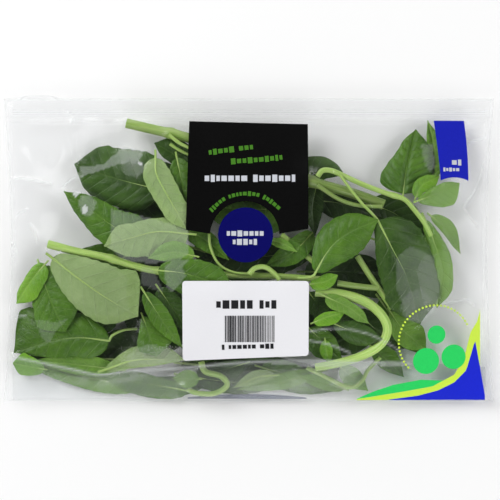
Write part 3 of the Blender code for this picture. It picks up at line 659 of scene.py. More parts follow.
lay_leaf("deep_far_right", "mid", 0.12, ((66, -26), (76, -40), (88, -54)), (9,), (8,), 0.6, tone_and_shading=0.8)
lay_leaf("deep_sticker_right", "dark", 0.12, ((26, -28), (44, -36), (62, -38)), (10,), (11,), 0.6, tone_and_shading=0.6)
lay_leaf("deep_low_right", "dark", 0.14, ((56, -34), (68, -44), (82, -50)), (8,), (8,), 0.6, tone_and_shading=0.8)
lay_leaf("deep_gap", "dark", 0.14, ((-34, -8), (-46, -12), (-60, -14)), (8,), (8,), 0.6, tone_and_shading=0.5)
lay_leaf("deep_sticker_left", "dark", 0.14, ((-30, -30), (-38, -42), (-46, -56)), (8,), (8,), 0.6, tone_and_shading=0.6)
lay_leaf("deep_disc", "dark", 0.16, ((34, 2), (10, -4), (-26, -6)), (10,), (8,), 0.6, tone_and_shading=0.5)
lay_leaf("deep_left_stalk", "mid", 0.2, ((-58, -2), (-72, -8), (-96, -6)), (9,), (9,), 0.6, tone_and_shading=0.8)
lay_leaf("fold_deep_left", "mid", 0.12, ((-22, -68), (-46, -70), (-72, -68)), (6,), (5,), 0.4, tone_and_shading=0.8)
lay_leaf("fold_deep_middle", "dark", 0.12, ((-34, -64), (-6, -68), (22, -68)), (7,), (6,), 0.4)
lay_leaf("fold_deep_right", "mid", 0.12, ((8, -66), (30, -69), (52, -70)), (6,), (5,), 0.4, tone_and_shading=0.85)
lay_leaf("fold_long", "light", 0.25, ((-54, -69.5), (-76, -66.5), (-97, -61.5), (-114, -56.8)),
         (5, 6, 5, 2.5), (5, 6, 5.5, 2), 0.5)
lay_leaf("fold_left", "mid", 0.28, ((-31, -72), (-50, -68.5), (-74, -64.5)), (5, 6.5, 6, 3), (3, 4, 5, 3),
         0.5)
lay_leaf("fold_centre", "mid", 0.3, ((6, -60), (22, -65), (38, -72)), (7,), (6.5,), 0.5)
lay_leaf("fold_centre_low", "light", 0.3, ((36, -62), (18, -67), (-6, -71.5)), (4,), (4.5,), 0.4)
lay_leaf("fold_dark", "dark", 0.3, ((-2, -58), (-12, -61), (-28, -64)), (5,), (4,), 0.4)
lay_stem("curl", 0.35, ((-24, -57), (-22, -62), (-14, -64.5), (-11, -69), (-17, -73), (-26, -73),
                        (-31, -71)), 1.5, 1.2)
lay_leaf("fold_round", "light", 0.35, ((-25, -66), (-38.5, -65.5)), (4.5,), (4.5,), 0.5)
lay_leaf("fold_narrow", "pale", 0.36, ((13, -64), (4, -65), (-8, -70.5)), (3,), (3.5,), 0.3, under=True)
lay_leaf("fold_light", "light", 0.38, ((48, -71), (36, -67.5), (24, -64)), (3.5,), (4,), 0.3)
lay_leaf("fold_right_low", "light", 0.3, ((46, -60), (53, -66), (60, -72)), (5,), (5,), 0.4)
lay_leaf("fold_right", "mid", 0.3, ((62, -50), (70, -57), (78, -65)), (6,), (5,), 0.5)
lay_leaf("behind_arch", "mid", 0.4, ((28, 22), (0, 19), (-28, 22)), (13,), (13,), -1.0)
lay_leaf("edge_low_left", "light", 0.4, ((-66, -61), (-84, -59), (-108, -56.5)), (5,), (5.5,), 0.5)
lay_leaf("low_right", "light", 0.4, ((71, -32), (78, -42), (89, -51)), (3, 7, 8, 4), (3, 6, 6, 3), 0.8)
lay_stem("thin_loop", 0.35, ((29, -60), (37, -64), (46, -68.5), (52, -70), (57, -66.5), (60, -61),
                             (66, -55)), 1.1, 0.9)
lay_stem("middle", 0.6, ((16, 6.5), (24, 0), (33, -7.5)), 1.6, 1.3)
lay_stem("left", 0.62, ((-100.5, 2), (-86, -1.8), (-70, -5), (-55, -9.5), (-43, -11.5), (-14, -13.2),
                        (12, -14),
                        (36, -15.5)), 2.0, 1.4, joints=(0.24, 0.42), tones_and_shading=(1.15, 1.0, 0.9, 0.85))

# The middle of the heap.
lay_leaf("left_broad", "mid", 0.5, ((-70, -46.5), (-85, -45), (-100, -47), (-118.5, -52.8)),
         (9, 9.5, 8, 3), (7, 13.5, 15, 14), -2.5, tone_and_shading=0.85,
         stalk=((-56, -40.5), (-63, -41.2), (-68.5, -43.8)))
lay_leaf("left_olive", "mid", 0.6, ((-105, -9), (-100, -25), (-92, -42)), (8, 12, 12, 7), (5, 8, 10, 8),
         -1.0)
lay_leaf("left_curl", "bright", 0.68, ((-102, -8), (-109, -16), (-117, -28)), (5, 6, 7, 4),
         (3.5, 3.5, 3, 2), -2.0)
lay_leaf("low_left_pale", "pale", 0.58, ((-72, -61), (-56, -56), (-32, -56)), (3, 6.5, 7, 4), (4,), -1.0,
         under=True)
lay_leaf("disc_right", "mid", 0.5, ((32, 8), (22, -2), (8, -9)), (6,), (6,), 0.8)
lay_leaf("disc_right_small", "light", 0.56, ((10, 4), (17, 2), (24, -2)), (2.4,), (2.6,), 0.4)
lay_leaf("disc_left", "mid", 0.62, ((-34, 10), (-22, 4), (-10, -6)), (5,), (5,), 0.8)
lay_leaf("panel_left_dark", "dark", 0.5, ((-24, 38), (-36, 46), (-47.5, 52.7)), (5, 5, 4, 2.5),
         (8, 8, 7, 4.5), 0.8)
lay_leaf("top_left_broad", "dark", 0.62, ((-44, 29), (-64, 34), (-87.5, 42)), (11, 13, 12, 7),
         (15, 16, 14, 9), -3.0)
lay_leaf("top_left_low", "mid", 0.7, ((-50, 5), (-66, 10), (-80, 20), (-92.5, 28.3)), (8, 10, 8, 3.5),
         (9, 8.5, 7, 3), -2.5)
lay_leaf("panel_left_strip", "mid", 0.68, ((-36, 45), (-33, 30), (-30, 14)), (7,), (6,), 1.0)
lay_leaf("sticker_left_dark", "dark", 0.66, ((-45, -20), (-38, -30), (-30, -42)), (6,), (6,), 1.0)
lay_leaf("panel_right_strip", "dark", 0.5, ((34, 33), (32, 20), (33, 6)), (5,), (5,), 0.5, tone_and_shading=0.7)
lay_leaf("panel_right_dark", "dark", 0.55, ((27, 35), (37, 40), (48, 36.5)), (8, 7, 4, 2), (6,), -1.0)
lay_leaf("pucker_back", "light", 0.45, ((92, 34), (93, 50), (90, 64.3)), (4,), (5,), 0.5)
lay_leaf("right_pucker", "mid", 0.6, ((77, 27), (79, 41), (84, 59.7)), (11.5, 10, 5.5, 3), (8, 13, 12, 6),
         -2.0,
         pucker=1.1, ruffle=0.9)
lay_leaf("right_edge", "light", 0.6, ((88, 14), (93, 2), (97, -12), (94, -30)), (3, 5.5, 5, 4),
         (3, 4, 6, 5), -1.2)
lay_leaf("sticker_right_dark", "dark", 0.5, ((30, -22), (35, -30), (38, -40)), (5,), (5,), 0.6)
lay_leaf("sticker_right_low", "mid", 0.55, ((30, -40), (38, -48), (47, -57)), (6,), (8,), -1.0)
lay_leaf("sticker_right_bright", "bright", 0.6, ((38, -46), (39, -52), (40.5, -58)), (3,), (3.5,), -0.4)
lay_stem("long", 0.75, ((-61.5, 62.6), (-48, 59.4), (-30, 55), (0, 45.5), (30, 33.5), (52, 27), (67, 21.5)),
         2.35, 2.5,
         joints=(0.17, 0.72), tones_and_shading=(0.85, 0.7, 0.6, 0.5))
lay_stem("short_cut", 0.6, ((54, -4), (62, -16.5), (71.5, -30)), 1.4, 1.5, tones_and_shading=(0.75, 0.95))
# The loop is made lighter towards its far bend: a painted highlight.
lay_stem("loop", 0.7, ((33, -21.5), (42, -22.5), (52, -24.5), (60, -28), (66.5, -34), (69, -40.5),
                       (66.5, -47),
                       (60.5, -51.8), (52, -55.3), (42, -58), (33, -59.5)), 2.5, 1.9,
         tones_and_shading=(0.85, 1.2, 1.35, 1.2))
lay_stem("hook", 0.9, ((34, 35.5), (36.5, 38.4), (41, 38.3), (47, 35.8), (57, 31.3), (68, 27.2), (77, 24.2),
                       (82, 19),
                       (87, 12.5), (90.5, 6)), 1.3, 1.1, joints=(0.6,), tones_and_shading=(0.95, 1.05, 1.0))

lay_stem("twin_upper", 0.7, ((-40, 56.5), (-35, 52.5), (-30, 50)), 0.9, 0.8)
lay_stem("twin_lower", 0.68, ((-39.5, 52), (-35, 49), (-29, 46)), 0.8, 0.7)
# These two stems lie in dark hollows of the heap, and their low scales are painted shade.
lay_stem("thin_dark", 0.6, ((34, 31), (45, 24), (55, 21), (66, 20.5)), 1.0, 0.9, tones_and_shading=(0.6, 0.6))
lay_stem("olive_band", 0.6, ((44, -17.5), (54, -19), (64, -20)), 1.5, 1.3, tones_and_shading=(0.6, 0.65))
lay_stem("thin_disc_curl", 0.7, ((-20, 8), (-19, 0), (-15, -8), (-8, -12), (0, -13)), 0.7, 0.6)
lay_stem("small_hook", 0.75, ((0, -13), (3, -10), (8, -9.5), (13, -13), (15, -16)), 1.3, 1.1)

# The front of the heap, against the film.
lay_leaf("loop_dark", "dark", 0.72, ((42, -37.5), (52, -41.5), (66, -45)), (2.5, 5.5, 4.5, 2), (3, 6, 6, 3),
         -1.5)
lay_leaf("loop_curl", "bright", 0.8, ((32, -37), (38, -34.5), (47.5, -32)), (2.5,), (3, 4, 4, 2), 0.6)
lay_leaf("triangle", "mid", 0.7, ((-53, -34), (-50, -42), (-46, -54)), (3, 6, 8, 7), (2, 5, 7, 5), -1.0)
lay_leaf("sticker_left_mid", "mid", 0.78, ((-52, -22), (-43, -36), (-33, -50)), (5,), (5,), 1.2)
lay_leaf("mid_left_pale", "pale", 0.8, ((-30, 7), (-46, 8), (-60, 4.5), (-72, 1)),
         (11, 12, 10, 5), (6, 6.5, 6.5, 5.5), -1.5, under=True)
lay_leaf("mid_left_small", "light", 0.84, ((-27, -4), (-38, -2), (-50, -5)), (5,), (5.5,), -0.6)
lay_leaf("shoot_upper", "bright", 0.78, ((83, 25), (86, 31), (95, 36)), (2.5, 4, 3, 1.5), (2, 4, 4, 2.5),
         1.0)
lay_leaf("shoot_lower", "light", 0.72, ((84, 23.5), (93, 27), (105.5, 32.5)), (2, 3, 3.5, 2),
         (3, 6.5, 8, 5), -1.0)
lay_leaf("shoot_narrow", "light", 0.6, ((91, 16), (98, 10), (106, -2.8)), (3, 5, 4, 1.4), (2, 2.5, 1.6, 1),
         -1.0)
lay_leaf("sticker_right_tip", "bright", 0.8, ((30, -18), (37, -17), (44, -13.5)), (2, 2.5, 3.5, 2),
         (3, 3.5, 3, 2), -0.8)
lay_leaf("loop_pale", "light", 0.76, ((38, -24), (50, -30), (59.5, -37.5)), (3, 3, 3, 2), (4, 4, 3, 2),
         -0.8)
lay_leaf("right_broad", "dark", 0.84, ((64, 13.5), (71, 0), (79, -16), (85, -38)), (14, 17, 14.5, 9),
         (5, 11, 12.5, 8.5), -3.5,
         stalk=((44.5, 37), (50, 29.5), (56, 22), (61, 17)))
lay_leaf("big_pale", "pale", 0.84, ((-98, -5), (-85, -15), (-72, -24), (-55, -34)),
         (7, 12.5, 15, 13), (7, 12, 13, 7), -3.0, under=True)
lay_leaf("panel_left_pale", "pale", 0.84, ((-46.5, 45), (-46, 37), (-41, 27), (-30.5, 9)),
         (6, 6.5, 6, 4), (6, 6.5, 6, 4), -1.0, under=True)
lay_leaf("sticker_top_left", "mid", 0.86, ((-45, -11), (-30, -13), (-8, -20)), (5, 7.5, 8, 5),
         (7, 10, 9, 5), -2.0)
lay_leaf("centre_right", "mid", 0.9, ((33, -12), (38, -3), (44, 4), (52, 9), (64, 14)),
         (4.5, 9.5, 9, 4.5), (6, 11, 11, 5.5), -2.5, stalk=((24, -14.8), (29, -14.6), (32, -13.5)))
lay_leaf("low_left_bright", "bright", 0.5, ((-103, -61), (-111, -59.5), (-119, -58)), (3, 4.5, 4.5, 3),
         (3, 4.5, 5, 4), -0.8)


# ---------------------------------------------------------------------------------------------------------
# Press seal. Two extruded strips are welded inside the header: a channel on the back film, a rib on the
# front, pressed shut.

def seal_material():
    """Clear strip with the fine lines of its extrusion."""
    material, tree, out = new_material("seal_strip")
    clear = node_of(tree, "ShaderNodeBsdfTransparent")
    solid = node_of(tree, "ShaderNodeBsdfPrincipled",
                    {"Base Color": (0.86, 0.88, 0.9, 1), "Roughness": 0.2})
    place = node_of(tree, "ShaderNodeTexCoord")
    lines = node_of(tree, "ShaderNodeTexWave",
                    {"Scale": 260.0, "Distortion": 0.4, "Vector": place.outputs["Object"]},
                    bands_direction="Y")
    share = node_of(tree, "ShaderNodeMapRange",
                    {"To Min": 0.0, "To Max": 0.05, "Value": lines.outputs["Fac"]})
    mix = node_of(tree, "ShaderNodeMixShader",
                  {0: share.outputs[0], 1: clear.outputs[0], 2: solid.outputs[0]})
    link(tree, mix.outputs[0], out.inputs["Surface"])
    return material


SEAL = seal_material()
SEAL_Y, SEAL_WIDTH, SEAL_HALF_LENGTH, SEAL_THICKNESS = 68.5, 3.0, 119.0, 0.6
seal_x = np.linspace(-SEAL_HALF_LENGTH, SEAL_HALF_LENGTH, 161)
for strip in ("channel", "rib"):
    ridge_y = SEAL_Y + np.linspace(-SEAL_WIDTH / 2, SEAL_WIDTH / 2, 9)
    plan = np.stack(np.meshgrid(seal_x, ridge_y, indexing="ij"), axis=-1)
    profile = SEAL_THICKNESS * (0.7 + 0.3 * np.cos(np.linspace(0, 4 * math.pi, 9)))[None, :]
    base = sampled(widened(heap_top, 1), plan[..., 0], plan[..., 1]).max(axis=1, keepdims=True) + 0.1
    build = Build()
    values = np.column_stack([plan.reshape(-1, 2) * 0.01, np.ones(plan[..., 0].size)])
    profile = profile * np.ones_like(plan[..., 0])
    add_shell(build, plan, base + profile, profile, values)
    piece = build.done("seal_" + strip, [SEAL], sharp=40)
    cover(plan, base + profile, 2)
    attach(piece, "root")
    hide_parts("zip_" + strip)


# ---------------------------------------------------------------------------------------------------------
# Folded bottom. The bag's lower end is tucked in between its panels and spreads as the bag fills: one leg
# comes up from the back film's edge to the fold, the other goes down to the front film's.

FOLD_LINE = ((-122, -54), (-117, -55), (-90, -60.5), (-75, -63.5), (-60, -61.5), (-35, -60), (0, -57),
             (35, -56.3), (81, -57.6), (118, -60))

fold_film = film_material("folded_film", (0.99, 0.993, 0.995), 0.035, 0.12, 0.02)


def taut(rest, rounds):
    """Film drawn over what it covers: straight between the places where it is held up."""
    height = rest.copy()
    for _ in range(rounds):
        around = (height[:-2, 1:-1] + height[2:, 1:-1] + height[1:-1, :-2] + height[1:-1, 2:]) / 4
        height[1:-1, 1:-1] = np.maximum(rest[1:-1, 1:-1], around)
    return height


fold_x = np.linspace(-119, 119, 150)
fold_y = np.interp(fold_x, *zip(*FOLD_LINE))
v = np.linspace(0, 1, 22)
leg_y = fold_y[:, None] + (BAG_BOTTOM + 0.6 - fold_y[:, None]) * v
plan = np.stack([np.broadcast_to(fold_x[:, None], leg_y.shape), leg_y], axis=-1)
rest = sampled(widened(heap_top, 1), plan[..., 0], plan[..., 1]) + 0.3
dive = smooth_step((v - 0.86) / 0.14)[None, :]
back_leg = taut(rest, 60) * (1 - dive) + (back_height(plan[..., 0], plan[..., 1]) + 0.5) * dive
front_leg = taut(rest, 60) + 0.45 + 1.2 * v[None, :]
add_film("fold_front_leg", "bottom_gusset", plan, front_leg, np.full(rest.shape, 0.02), fold_film)
add_film("fold_back_leg", None, plan, back_leg, np.full(rest.shape, 0.02), fold_film)
cover(plan, front_leg)


# ---------------------------------------------------------------------------------------------------------
# Front film. Drawn taut over the herbs and welded down at its sides, with creases from handling. Pale
# patches painted on it are painted reflection, and pale lines along its creases are painted highlights.

# Painted reflection: the strength and outline of each pale patch painted on the front film. The small,
# strongest ones are painted glints.
REFLECTION_VEILS = (
    (0.17, ((-83.5, 36), (-84.5, 40.5), (-78, 41), (-72, 42), (-68, 46), (-63, 49.8), (-55, 49.5),
            (-53, 46.5), (-56, 42),
            (-60, 42.3), (-66, 41.5), (-76, 38))),
    (0.1, ((-68.5, 19.5), (-58, 17), (-46, 14), (-30, 9), (-30, -3), (-36, -7), (-50, -7.5), (-62, -6),
           (-69, 0))),
    (0.03, ((-97, 0), (-88, -3.5), (-76, -6), (-66, -10), (-60, -15), (-61, -24), (-59, -31), (-66, -34),
            (-80, -33),
            (-88, -27), (-98, -14))),
    (0.03, ((-53, 40), (-50, 44), (-44, 45), (-41, 42), (-37, 30), (-31, 20), (-31, 10), (-36, 15),
            (-44, 24), (-50, 33))),
    (0.11, ((-42, -9), (-36, -6), (-30, -6), (-33, -10), (-31, -14), (-38, -22), (-41, -19))),
    (0.07, ((-107, -36), (-96, -37), (-90, -35), (-97, -42), (-100, -48), (-104, -45))),
    (0.1, ((-62, -54), (-56, -50), (-50, -48), (-42, -49), (-36, -53), (-33, -57), (-60, -59))),
    (0.07, ((73, -5), (80, 1), (91, -4), (95, -18), (93, -31), (86, -37), (79, -36), (76, -27), (73, -20))),
    (0.06, ((-53, -10), (-48, -10), (-42, -22), (-46, -21), (-53, -18))),
    (0.1, ((86, 52), (92, 52), (93, 40), (90, 38), (87, 45))),
    (0.14, ((-84, 26), (-79, 26), (-76, 23), (-77, 19), (-79, 15.5), (-83, 17), (-85, 22))),
    (0.6, ((-88, 27), (-86, 28.6), (-84.3, 28), (-85, 26), (-87, 25.5))),
    (0.6, ((-83.2, 20.5), (-81, 21.5), (-80.2, 19), (-81, 17), (-82.6, 17.4))),
    (0.5, ((-55.5, 42.2), (-53, 42.8), (-52.6, 40.8), (-54, 40.2))),
    (0.45, ((-95.5, -3), (-94.2, -1.2), (-93.6, -2), (-94.8, -3.6))),
    (0.2, ((0, -56.8), (35, -56.3), (81, -57.5), (81, -59.5), (62, -58.5), (50, -63), (44, -67),
           (45, -59.5), (20, -58.5))),
)
CREASES = (
    ((-119, 35), (-110, 34.2), (-99, 32.3)), ((-92, 31.5), (-88, 34.5), (-83, 35.8)),
           ((-110, 12), (-107.5, 8), (-106, 3)),
    ((-117.5, 15), (-116, 17), (-112, 19)), ((111, 53.5), (115, 54.3), (119, 55.5)),
           ((118, 42), (114, 30), (107.5, 21)),
    ((107.5, 20.5), (110.5, 16), (115, 10.5)), ((98, -27.5), (105, -26.5), (109, -26), (113, -29)),
    ((30, -41.5), (40, -40), (50, -40.5), (60, -43), (68, -47), (75, -51)),
           ((30, -46), (40, -48), (50, -52)),
    ((-90, 68), (-88, 65), (-89, 63)), ((-118, -34.5), (-112, -34)), ((-119, 2), (-117, -2), (-119, -4)),
)

PALE_SPOT_X, PALE_SPOT_Y, PALE_SPOT_RADIUS = 83.5, -29.0, 8.0


def inside(polygon, x, y):
    """Which points lie within an outline."""
    found = np.zeros(x.shape, bool)
    for (ax, ay), (bx, by) in zip(polygon, polygon[1:] + polygon[:1]):
        crosses = (ay > y) != (by > y)
        found ^= crosses & (x < (bx - ax) * (y - ay) / (by - ay + 1e-9) + ax)
    return found


def near_line(points, x, y, count=60):
    """Distance of each point from a smooth line."""
    line = smooth_route(points, count)
    best = np.full(x.shape, 1e9)
    for px, py in line:
        best = np.minimum(best, (x - px) ** 2 + (y - py) ** 2)
    return np.sqrt(best)


def drawn_film():
    """The front film's height over the whole map: a coarse solution first, then a fine one."""
    gx, gy = np.meshgrid(map_x, map_y, indexing="ij")
    half = bag_half_length(gy)
    outside = (np.abs(gx) > half - 1.2) | (gy < BAG_BOTTOM + 1.2) | (gy > BAG_TOP - 1.0)
    opening = 5.0 * smooth_step((gy + 60) / -17) * np.clip(1 - (gx / 112) ** 2, 0, 1)
    rim = back_height(gx, gy) + 0.45 + opening
    rest = np.maximum(widened(heap_top, 1) + 0.25, rim)
    rest = np.where(outside, rim, rest)
    coarse = rest[::4, ::4].copy()
    for di in range(4):
        for dj in range(4):
            part = rest[di::4, dj::4]
            here = coarse[: part.shape[0], : part.shape[1]]
            here[:] = np.maximum(here, part)
    coarse = taut(coarse, 250)
    start = finer(coarse, 4)
    wide = np.full(rest.shape, -9.0)
    wide[: start.shape[0], : start.shape[1]] = start[: rest.shape[0], : rest.shape[1]]
    height = np.maximum(rest, np.minimum(wide, 40) - 0.6)
    height = np.where(outside, rim, height)
    for _ in range(260):
        around = (height[:-2, 1:-1] + height[2:, 1:-1] + height[1:-1, :-2] + height[1:-1, 2:]) / 4
        held = np.maximum(rest[1:-1, 1:-1], around)
        height[1:-1, 1:-1] = np.where(outside[1:-1, 1:-1], rim[1:-1, 1:-1], held)
    return height


def handling(x, y):
    """Shallow facets left by handling: straight folds, each fading out along and beside its line."""
    folds = np.random.default_rng(7)
    height = np.zeros_like(x)
    for _ in range(46):
        cx, cy, angle = folds.uniform(-118, 118), folds.uniform(-72, 72), folds.uniform(0, math.pi)
        reach, slope = folds.uniform(10, 34), folds.uniform(0.03, 0.09)
        beside = -(x - cx) * math.sin(angle) + (y - cy) * math.cos(angle)
        along = (x - cx) * math.cos(angle) + (y - cy) * math.sin(angle)
        fade = np.exp(-((along / reach) ** 2) - (beside / (reach * 0.5)) ** 2)
        height += slope * (reach * 0.5 - np.abs(beside)).clip(0) * fade
    return height


film_map = drawn_film()
map_gx, map_gy = np.meshgrid(map_x, map_y, indexing="ij")
side_fade = smooth_step((bag_half_length(map_gy) - np.abs(map_gx)) / 10)
side_fade = side_fade * smooth_step((map_gy - BAG_BOTTOM) / 8) * smooth_step((BAG_TOP - map_gy) / 8)
film_map = film_map + 0.35 * handling(map_gx, map_gy) * side_fade
for crease in CREASES:
    film_map = film_map + 0.4 * np.exp(-((near_line(crease, map_gx, map_gy) / 0.9) ** 2))
plan = film_plan(269, 167)
x, y = plan[..., 0], plan[..., 1]
film_top = sampled(film_map, x, y)
haze_and_sheen = np.zeros(x.shape)
for strength, outline in REFLECTION_VEILS:
    haze_and_sheen = np.maximum(haze_and_sheen, strength * inside(outline, x, y))
# A faint pale disc of painted reflection on the right of the front film.
haze_and_sheen = haze_and_sheen + 0.06 * (np.hypot(x - PALE_SPOT_X, y - PALE_SPOT_Y) < PALE_SPOT_RADIUS)
# A pale line painted along each crease: painted highlight.
for crease in CREASES:
    haze_and_sheen = np.maximum(haze_and_sheen, 0.3 * np.exp(-((near_line(crease, x, y) / 0.5) ** 2)))
# Pale lines painted along the fold, the welds along the sides, the bag's two long edges and the zip's two
# weld lines; the one along the fold is a painted highlight.
ZIP_WELDS = (66.2, 63.2)
seam = bag_half_length(y) - np.abs(x)
fold_away = near_line(FOLD_LINE[1:9], x, y, 420)
for lines in (((0.34, fold_away, 0.7),), ((0.16, seam - 2.2, 0.5), (0.3, seam, 0.5)),
              ((0.34, y - BAG_TOP, 0.6), (0.2, y - BAG_BOTTOM, 0.8)),
              ((0.1, y - ZIP_WELDS[0], 0.35), (0.08, y - ZIP_WELDS[1], 0.3))):
    haze_and_sheen = np.maximum(haze_and_sheen, sum(strength * np.exp(-((away / breadth) ** 2)) for strength, away,
                                breadth in lines))
add_film("film_front", "front_film", plan, film_top, haze_and_sheen, clear_film)


# ---------------------------------------------------------------------------------------------------------
# Back strip: a strip of dull ink printed along the back film's lower edge, which shows through the bag.
# Every print here is plain colour, or plain dashes, dots and bars.

def print_material(name, colour, roughness, fleck):
    """Solid ink or coated paper: one colour, slightly uneven, with a satin face."""
    material, tree, out = new_material(name)
    shader = node_of(tree, "ShaderNodeBsdfPrincipled", {"Specular IOR Level": 0.03})
    place = node_of(tree, "ShaderNodeTexCoord")
    grain = node_of(tree, "ShaderNodeTexNoise",
                    {"Scale": 900.0, "Detail": 3.0, "Vector": place.outputs["Object"]})
    ink = node_of(tree, "ShaderNodeMix",
                  {6: (*[c * (1 - fleck) for c in colour], 1),
                   7: (*[min(1, c * (1 + fleck)) for c in colour], 1), "Factor": grain.outputs["Fac"]},
                  data_type="RGBA")
    link(tree, ink.outputs[2], shader.inputs["Base Color"])
    rough = node_of(tree, "ShaderNodeMapRange",
                    {"To Min": roughness - 0.06, "To Max": roughness + 0.06, "Value": grain.outputs["Fac"]})
    link(tree, rough.outputs[0], shader.inputs["Roughness"])
    bump = node_of(tree, "ShaderNodeBump",
                   {"Strength": 0.08, "Distance": 0.0002, "Height": grain.outputs["Fac"]})
    link(tree, bump.outputs["Normal"], shader.inputs["Normal"])
    link(tree, shader.outputs[0], out.inputs["Surface"])
    return material


SLATE = print_material("print_slate", (0.1, 0.12, 0.19), 0.5, 0.15)
strip_x = np.linspace(-31, 29, 40)
strip_low = np.full(40, BAG_BOTTOM + 0.9)
strip_high = BAG_BOTTOM + 1.4 + 1.9 * np.sin(np.linspace(0.15, math.pi - 0.1, 40))
strip_v = np.linspace(0, 1, 4)
strip_y = strip_low[:, None] + (strip_high - strip_low)[:, None] * strip_v
strip_plan = np.stack([np.broadcast_to(strip_x[:, None], strip_y.shape), strip_y], axis=-1)
strip_top = back_height(strip_plan[..., 0], strip_plan[..., 1]) + 0.38
build = Build()
strip_values = np.column_stack([strip_plan.reshape(-1, 2) * 0.01, np.ones(strip_top.size)])
add_shell(build, strip_plan, strip_top, 0.05, strip_values)
back_strip = build.done("back_strip", [SLATE])
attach(back_strip, "root")


# ---------------------------------------------------------------------------------------------------------
# Panel and disc: black ink with an arch cut in its lower edge, and a navy disc inside the arch, both printed
# solid on the front film. A label bridges the film's finer creases, and its ends follow the film.

BLACK = print_material("print_black", (0.0035, 0.0035, 0.0035), 0.5, 0.3)
NAVY = print_material("print_navy", (0.0035, 0.0035, 0.105), 0.5, 0.12)
LABEL_THICKNESS = 0.08
label_bed = widened(film_map, 2)


def film_surface(x, y):
    """The front film's height, smoothed as far as a label bridges it."""
    around = [(dx, dy) for dx in (-2.5, 0, 2.5) for dy in (-2.5, 0, 2.5)]
    return sum(sampled(label_bed, x + dx, y + dy) for dx, dy in around) / len(around)


def column_plan(x, low, high, rows):
    """A grid of columns, each from its own low to its own high."""
    v = np.linspace(0, 1, rows)
    y = low[:, None] + (high - low)[:, None] * v
    return np.stack([np.broadcast_to(x[:, None], y.shape), y], axis=-1)


def rounded(count, centre, reach):
    """Columns that crowd towards both ends, as a circle's outline needs."""
    return centre - reach * np.cos(np.linspace(0, math.pi, count))


def lay_label(name, nodes, plans, materials, raise_by=0.2):
    """A label or patches of print that follow the film."""
    build = Build()
    for k, plan in enumerate(plans):
        x, y = plan[..., 0], plan[..., 1]
        top = np.maximum(film_surface(x, y), sampled(widened(film_map, 1), x, y)) + raise_by
        values = np.column_stack([plan.reshape(-1, 2) * 0.01, np.ones(x.size)])
        ink = min(k, len(materials) - 1)
        add_shell(build, plan, top, LABEL_THICKNESS, values, ink, ink)
    piece = build.done(name, materials, sharp=40)
    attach(piece, "root")
    if nodes:
        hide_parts(*nodes)
    return piece


PANEL_LEFT, PANEL_RIGHT, PANEL_TOP, PANEL_BOTTOM = -29.9, 29.4, 63.4, 7.0
ARCH_RADIUS, DISC_RADIUS = 16.7, 13.6
DISC_X, DISC_Y = -1.7, 6.5
columns = np.concatenate([np.linspace(PANEL_LEFT, DISC_X - ARCH_RADIUS - 0.2, 10),
                          rounded(41, DISC_X, ARCH_RADIUS * 0.9995),
                          np.linspace(DISC_X + ARCH_RADIUS + 0.2, PANEL_RIGHT, 12)])
arch = np.where(np.abs(columns - DISC_X) < ARCH_RADIUS,
                DISC_Y + np.sqrt(np.clip(ARCH_RADIUS**2 - (columns - DISC_X) ** 2, 0, None)),
                PANEL_BOTTOM + 2.3 * np.clip(np.abs(columns - DISC_X) - ARCH_RADIUS, 0, 14) / 13.0)
panel_high = PANEL_TOP - 1.5 * (columns - PANEL_LEFT) / (PANEL_RIGHT - PANEL_LEFT)
panel_plan = column_plan(columns, arch, panel_high, 40)
lean = (panel_plan[..., 1] - 62) / -54
panel_plan[..., 0] += np.where(columns < 0, -1.4 * lean.T, 0).T * np.clip(columns / PANEL_LEFT, 0, 1)[:,
                                                                                                      None]
lay_label("panel_black", ["panel_label"], [panel_plan], [BLACK])
disc_columns = rounded(49, DISC_X, DISC_RADIUS * 0.9995)
half = np.sqrt(np.clip(DISC_RADIUS**2 - (disc_columns - DISC_X) ** 2, 0.04, None))
lay_label("disc_navy", ["disc_label"], [column_plan(disc_columns, DISC_Y - half, DISC_Y + half, 24)],
          [NAVY])


# ---------------------------------------------------------------------------------------------------------
# Price sticker: coated white paper stuck on the front film. Its corners are rounded, and its lower edge
# rises to the right as the film bends.

PAPER = print_material("sticker_paper", (0.8, 0.8, 0.83), 0.5, 0.015)
STICKER_LEFT, STICKER_RIGHT, STICKER_TOP, STICKER_LOW, STICKER_RISE = -33.0, 29.6, -16.3, -56.2, 2.6
CORNER = 1.6
sticker_x = np.concatenate([STICKER_LEFT + CORNER * (1 - np.cos(np.linspace(0, math.pi / 2, 7))),
                            np.linspace(STICKER_LEFT + CORNER, STICKER_RIGHT - CORNER, 50)[1:-1],
                            STICKER_RIGHT - CORNER * (1 - np.cos(np.linspace(math.pi / 2, 0, 7)))])
edge = np.minimum(sticker_x - STICKER_LEFT, STICKER_RIGHT - sticker_x).clip(0, CORNER)
inset = CORNER - np.sqrt(np.clip(CORNER**2 - (CORNER - edge) ** 2, 0, None))
low_edge = STICKER_LOW + STICKER_RISE * (sticker_x - STICKER_LEFT) / (STICKER_RIGHT - STICKER_LEFT)
lay_label("sticker_white", ["price_sticker"],
          [column_plan(sticker_x, low_edge + inset, np.full(len(sticker_x), STICKER_TOP) - inset, 34)],
          [PAPER])


# ---------------------------------------------------------------------------------------------------------
# Side tag: blue ink printed on the front film near its right end. It narrows downwards, and its lower
# edge has a shallow notch.

